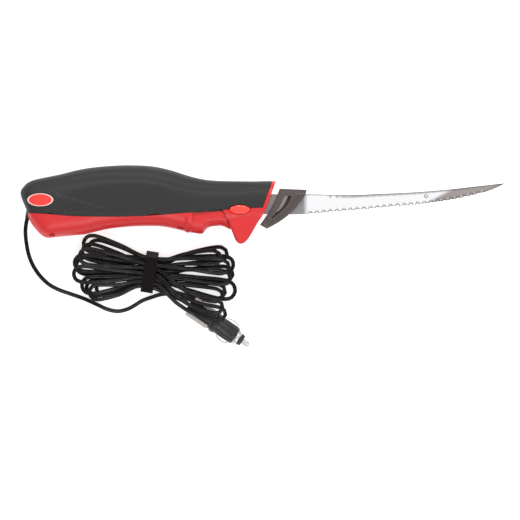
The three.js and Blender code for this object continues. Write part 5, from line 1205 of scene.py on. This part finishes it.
for word, side in sides.items():
    nodes = [f"blade_guard_{word}"]
    body = collarMesh()
    middle = midPlane + side * (collar["near"] + collar["far"]) / 2
    bmesh.ops.translate(body, vec=(0, 0, middle), verts=body.verts)
    newPiece(f"bladeCollar_{word}", body, guardPlastic, "guard_plastic", nodes, sharp=40)
    newPiece(f"bladeCollarRibs_{word}", collarRibs(side), guardRibsPaintedLight, "guard_plastic", nodes)
    slopePiece = newPiece(f"bladeCollarSlope_{word}", windowSlope(side), guardPlastic, "guard_plastic", nodes)
    thicken(slopePiece, collar["slopeWall"])
print("blade guards made")

# gland where the cord leaves the handle
gland = {"sides": 40,
         "profile": [(-7, 0), (-7, 2.9), (0.6, 2.9), (0.9, 2.6), (1.5, 2.6), (1.8, 2.85), (2.6, 2.8),
                     (2.9, 2.5), (3.4, 2.5), (3.7, 2.7), (4.6, 2.6), (5.2, 2.45), (5.6, 2.2), (5.6, 0)]}
glandWay = Vector((*cord["glandAxis"], 0))
glandTurn = (Matrix.Translation((*cord["gland"], midPlane))
             @ Vector((1, 0, 0)).rotation_difference(glandWay).to_matrix().to_4x4())
glandMesh = lathe(gland["profile"], glandTurn, gland["sides"])
newPiece("cordGland", glandMesh, plugPlastic, "black_shell", ["cord_gland"])

# strap round the hank, with its end laid over the top
strap = {"half": 21.4, "low": 0, "high": 14.7, "round": 3, "wide": 12.5, "thick": 1.35, "gap": 1.2, "columns": 12,
         "sag": 0.35, "sagAcross": 2.2, "sagAlong": 0.21, "sagAbove": 1, "floor": 0.02, "middle": 7, "sharp": 60}
flap = {"from": 21, "long": 6, "lift": 1.1, "hem": 0.9, "hemLift": 0.6, "bend": 6, "bendTo": 0.25,
        "bendPower": 1.6, "narrow": 0.94, "wave": 0.25, "waveAlong": 5, "rows": 16, "thick": 0.9}


def strapLoop():
    loop = []
    corners = [(1, "high", 0), (-1, "high", 90), (-1, "low", 180), (1, "low", 270)]
    for sideways, level, start in corners:
        v = sideways * (strap["half"] - strap["round"])
        z = strap["high"] - strap["round"] if level == "high" else strap["low"] + strap["round"]
        for angle in steps(start, start + 90, 6):
            turn = math.radians(angle)
            loop.append((v + strap["round"] * math.cos(turn), z + strap["round"] * math.sin(turn)))
    return loop


def strapPlace(p, w):
    v, z = p
    sag = strap["sag"] * math.sin(w * strap["sagAcross"] + v * strap["sagAlong"]) * (z > strap["sagAbove"])
    return hankPlace(w * strap["wide"] / 2, v, max(z + sag, strap["floor"]))


def strapMiddle(p):
    return hankPlace(0, 0, strap["middle"])


def makeStrap():
    dense = []
    loop = strapLoop()
    for a, b in zip(loop, loop[1:] + loop[:1]):
        count = max(int(math.dist(a, b) / strap["gap"]), 1)
        dense += [(a[0] + (b[0] - a[0]) * k / count, a[1] + (b[1] - a[1]) * k / count) for k in range(count)]
    mesh = gridSkin(dense + dense[:1], steps(-1, 1, strap["columns"]), strapPlace)
    turnOut(mesh, strapMiddle)
    return mesh


def flapPlace(t, w):
    v = flap["from"] - flap["long"] * t
    edge = 1 if abs(w) < flap["hem"] else flap["hemLift"]
    z = strap["high"] + flap["lift"] * edge - flap["bend"] * max(flap["bendTo"] - t, 0) ** flap["bendPower"]
    wave = flap["wave"] * math.sin(flap["waveAlong"] * t + w)
    return hankPlace(w * strap["wide"] / 2 * flap["narrow"], v, z + wave)


def makeFlap():
    mesh = gridSkin(steps(0, 1, flap["rows"]), steps(-1, 1, strap["columns"]), flapPlace)
    turnOut(mesh, strapMiddle)
    return mesh


def makeStrapFabric(name, color, fuzz):
    finish, tree, skin = startFinish(name)
    tone = placeGroup(tree, toneDrift, {"Color": color, "Amount": 0.5, "Scale": 220})
    pile = placeGroup(tree, mouldGrain, {"Scale": 1300})
    relief = addNode(tree, "Bump", {"Strength": 1, "Distance": fuzz * mm})
    joinNodes(tree, (tone, "Color", skin, "Base Color"), (pile, "Height", relief, "Height"),
              (relief, "Normal", skin, "Normal"))
    setInputs(skin, {"Roughness": 0.95, "Sheen Weight": 0.05, "Specular IOR Level": 0.15})
    return finish


strapFabric = makeStrapFabric("strapFabric", tint(15, 10, 11), 0.35)
flapFabric = makeStrapFabric("flapFabric", tint(40, 35, 36), 0.3)
strapPiece = newPiece("cordStrap", makeStrap(), strapFabric, "strap_fabric", ["cord_tie"], sharp=strap["sharp"])
thicken(strapPiece, strap["thick"], strap["sharp"])
flapPiece = newPiece("cordStrapFlap", makeFlap(), flapFabric, "strap_fabric", ["cord_tie"], sharp=strap["sharp"])
thicken(flapPiece, flap["thick"], strap["sharp"])
print("strap made")

# vehicle lighter plug
plugParts = {
    "grip": [(0, 0), (0, 6.4), (0.5, 7.2), (1.5, 8), (9, 9.2), (10, 9.25), (28.4, 9.25), (29.4, 9.1), (30, 8.8),
             (30.25, 8.6), (30.25, 0)],
    "body": [(30.28, 0), (30.28, 9.4), (30.6, 10), (31.2, 10.4), (35.4, 10.4), (36, 10), (36.3, 9.6), (36.5, 9.4),
             (54.6, 9.4), (56.4, 9.15), (57.4, 8.7), (58, 8), (58, 4.7), (37, 4.7)],
    "ring": [(58.3, 4.7), (58.3, 7.6), (58.7, 8.1), (59.4, 8.2), (61.2, 8.2), (61.7, 7.9), (61.9, 7.4),
             (61.9, 4.7)],
    "insulator": [(62.2, 3.3), (62.2, 6), (62.5, 6.35), (63.4, 6.4), (65.4, 5.8), (66.3, 5.3), (66.6, 4.8),
                  (66.6, 3.3)],
    "tip": [(54, 0), (54, 4.2), (56, 4.2), (56, 3), (71.6, 3), (72.4, 2.95), (73.6, 2.5), (74.4, 1.7),
            (74.75, 0.8), (74.8, 0)],
    "padR": (9.45, 10.9), "padX": (2, 28), "padSpread": 0.85, "padEnds": 9, "padEdges": 5, "padFoot": 0.3,
    "contactX": (40.3, 55), "contactR": 10.5, "contactBow": 2.2, "contactWide": 5, "contactEnds": 0.8,
    "contactThick": 0.7, "middle": 30, "sharp": 50,
}
plugFinishes = {"grip": (plugPlastic, "plug_plastic", "plug_grip"),
                "body": (plugPlastic, "plug_plastic", "plug_body"),
                "ring": (plainSteel, "plain_steel", "plug_nose_ring"),
                "insulator": (plugPlastic, "plug_plastic", "plug_insulator"),
                "tip": (plainSteel, "plain_steel", "plug_tip")}


def padPlace(side):
    low, high = plugParts["padR"]
    back, front = plugParts["padX"]
    foot = plugParts["padFoot"]

    def place(t, w):
        x = back + (front - back) * t
        crown = min(1, plugParts["padEnds"] * min(t, 1 - t) + foot, plugParts["padEdges"] * (1 - abs(w)) + foot)
        r = low + (high - low) * crown ** 0.5
        angle = w * plugParts["padSpread"]
        return plugMatrix @ Vector((x, side * r * math.cos(angle), r * math.sin(angle)))

    return place


def contactPlace(side):
    back, front = plugParts["contactX"]
    ends = plugParts["contactEnds"]

    def place(t, w):
        bow = math.sin(math.pi * t)
        wide = plugParts["contactWide"] / 2 * (ends + (1 - ends) * bow)
        r = plugParts["contactR"] + plugParts["contactBow"] * bow
        return plugMatrix @ Vector((back + (front - back) * t, side * r, w * wide))

    return place


def plugPiece(name, mesh, finish, slot, node):
    piece = newPiece(name, mesh, finish, slot, [node], sharp=plugParts["sharp"])
    return piece


for part, (finish, slot, node) in plugFinishes.items():
    plugPiece(f"plug_{part}_turned", lathe(plugParts[part], plugMatrix), finish, slot, node)
plugMiddle = plugMatrix @ Vector((plugParts["middle"], 0, 0))
for word, side in {"far": 1, "near": -1}.items():
    pad = gridSkin(steps(0, 1, 40), steps(-1, 1, 20), padPlace(side))
    turnOut(pad, lambda p: plugMiddle)
    plugPiece(f"plugPad_{word}", pad, padPlastic, "pad_plastic", f"plug_grip_pad_{word}")
    strip = gridSkin(steps(0, 1, 24), steps(-1, 1, 6), contactPlace(side))
    turnOut(strip, lambda p: plugMiddle)
    contact = plugPiece(f"plugContact_{word}", strip, darkSteel, "plain_steel", f"plug_contact_{word}")
    thicken(contact, plugParts["contactThick"], plugParts["sharp"])

# springs as wound coils; stroke in mm, end that stays still
coilShape = {"wire": 0.8, "wireSides": 8, "pitch": 1.7, "turnSteps": 20, "leastTurns": 2, "leastKept": 0.3}
springs = {
    "trigger_spring": {"joint": "trigger_pull", "stroke": 1.9, "still": "high",
                       "at": Matrix.Translation((-42, 0, midPlane)) @ Matrix.Rotation(math.pi / 2, 4, "Z")},
    "plug_spring": {"joint": "plug_tip_press", "stroke": 3.2, "still": "low", "at": plugMatrix},
}
buttonPlace = Matrix.Translation((button["x"], button["y"], midPlane))
for word, side in sides.items():
    springs[f"release_spring_{word}"] = {"joint": f"release_{word}_press", "stroke": 2.5, "still": "low",
                                         "at": buttonPlace @ Matrix.Rotation(-side * math.pi / 2, 4, "Y")}


def coil(low, high, radius, matrix):
    wire = coilShape["wire"]
    turns = max(round((high - low) / coilShape["pitch"]), coilShape["leastTurns"])
    count = coilShape["turnSteps"] * turns
    mesh = bmesh.new()
    bmesh.ops.create_circle(mesh, segments=coilShape["wireSides"], radius=wire / 2)
    bmesh.ops.translate(mesh, vec=(low + wire / 2, radius - wire / 2, 0), verts=mesh.verts)
    bmesh.ops.spin(mesh, geom=mesh.verts[:] + mesh.edges[:], cent=(0, 0, 0), axis=(1, 0, 0), steps=count,
                   angle=2 * math.pi * turns, dvec=((high - low - wire) / count, 0, 0))
    closeEnds(mesh)
    bmesh.ops.transform(mesh, matrix=matrix, verts=mesh.verts)
    return mesh


for node, spring in springs.items():
    room = [spring["at"].inverted() @ (v.co / mm) for v in frame["nodes"][node].data.vertices]
    low, high = min(p.x for p in room), max(p.x for p in room)
    wound = coil(low, high, max(p.yz.length for p in room), spring["at"])
    coilPiece = newPiece(f"{node}_coil", wound, plainSteel, "plain_steel", [node], sharp=60)
    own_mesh(coilPiece)
print("springs wound")

[p * mm for p in cordLine]

# inner pieces keep their own meshes
inside = {
    plainSteel: ["motor_can", "motor_magnet_upper", "motor_magnet_lower", "motor_shaft", "worm", "drive_frame",
                 "frame_screw_upper", "frame_screw_lower", "gear_axle", "trigger_pin",
                 "housing_screw_1", "housing_screw_2", "housing_screw_3", "housing_screw_4"],
    warmBrass: ["worm_bush"], windingCopper: ["motor_armature"],
    paleNylon: ["motor_end_cap", "worm_gear", "slider_right", "slider_left", "slider_guide", "switch_plunger"],
    blackShell: ["switch_body", "motor_wire"], redShell: ["supply_wire"],
}
for finish, names in inside.items():
    for name in names:
        frame["nodes"][name].data.materials.clear()
        frame["nodes"][name].data.materials.append(finish)
print("inner pieces finished")

# pale floor and soft light; sizes in metres, apart from the drop
studio = {"floor": 6, "drop": 0.4, "paper": (0.6, 0.6, 0.6, 1), "sky": (0.35, 1.12), "glow": 0.68,
          "lamps": [((-0.1, 1.5, 1.4), (2.0, 0.3), 24), ((0.2, -1.5, 1.2), (1.6, 0.25), 9),
                    ((1.6, 0.2, 1.2), (0.3, 1.0), 5)]}
white = (1, 1, 1, 1)
floorMesh = bmesh.new()
bmesh.ops.create_grid(floorMesh, x_segments=2, y_segments=2, size=studio["floor"] / 2)
bmesh.ops.translate(floorMesh, vec=(0, 0, -studio["drop"] * mm), verts=floorMesh.verts)
floor = toObject("floor", floorMesh, 1)
floorFinish, floorTree, floorSkin = startFinish("floorPaper")
floorTone = placeGroup(floorTree, toneDrift, {"Color": studio["paper"], "Amount": 0.02, "Scale": 3})
joinNodes(floorTree, (floorTone, "Color", floorSkin, "Base Color"))
setInputs(floorSkin, {"Roughness": 0.9, "Emission Color": white, "Emission Strength": studio["glow"]})
floor.data.materials.append(floorFinish)
world = bpy.data.worlds.new("studio")
world.use_nodes = True
sky = world.node_tree
skyLight = sky.nodes["Background"]
setInputs(skyLight, {"Color": white})
skyPlace = addNode(sky, "TexCoord")
skyAxis = addNode(sky, "SeparateXYZ")
skyRise = addNode(sky, "MapRange", {"To Min": studio["sky"][0], "To Max": studio["sky"][1]})
joinNodes(sky, (skyPlace, "Generated", skyAxis, 0), (skyAxis, "Z", skyRise, "Value"),
          (skyRise, 0, skyLight, "Strength"))
scene.world = world
for i, (spot, size, strength) in enumerate(studio["lamps"]):
    light = bpy.data.lights.new(f"softLamp_{i}", "AREA")
    light.shape = "RECTANGLE"
    light.size, light.size_y = size
    light.energy = strength
    lamp = bpy.data.objects.new(f"softLamp_{i}", light)
    lamp.location = spot
    lamp.rotation_euler = (-Vector(spot)).to_track_quat("-Z", "Y").to_euler()
    scene.collection.objects.link(lamp)
scene.view_settings.view_transform = "Standard"
print("studio set")
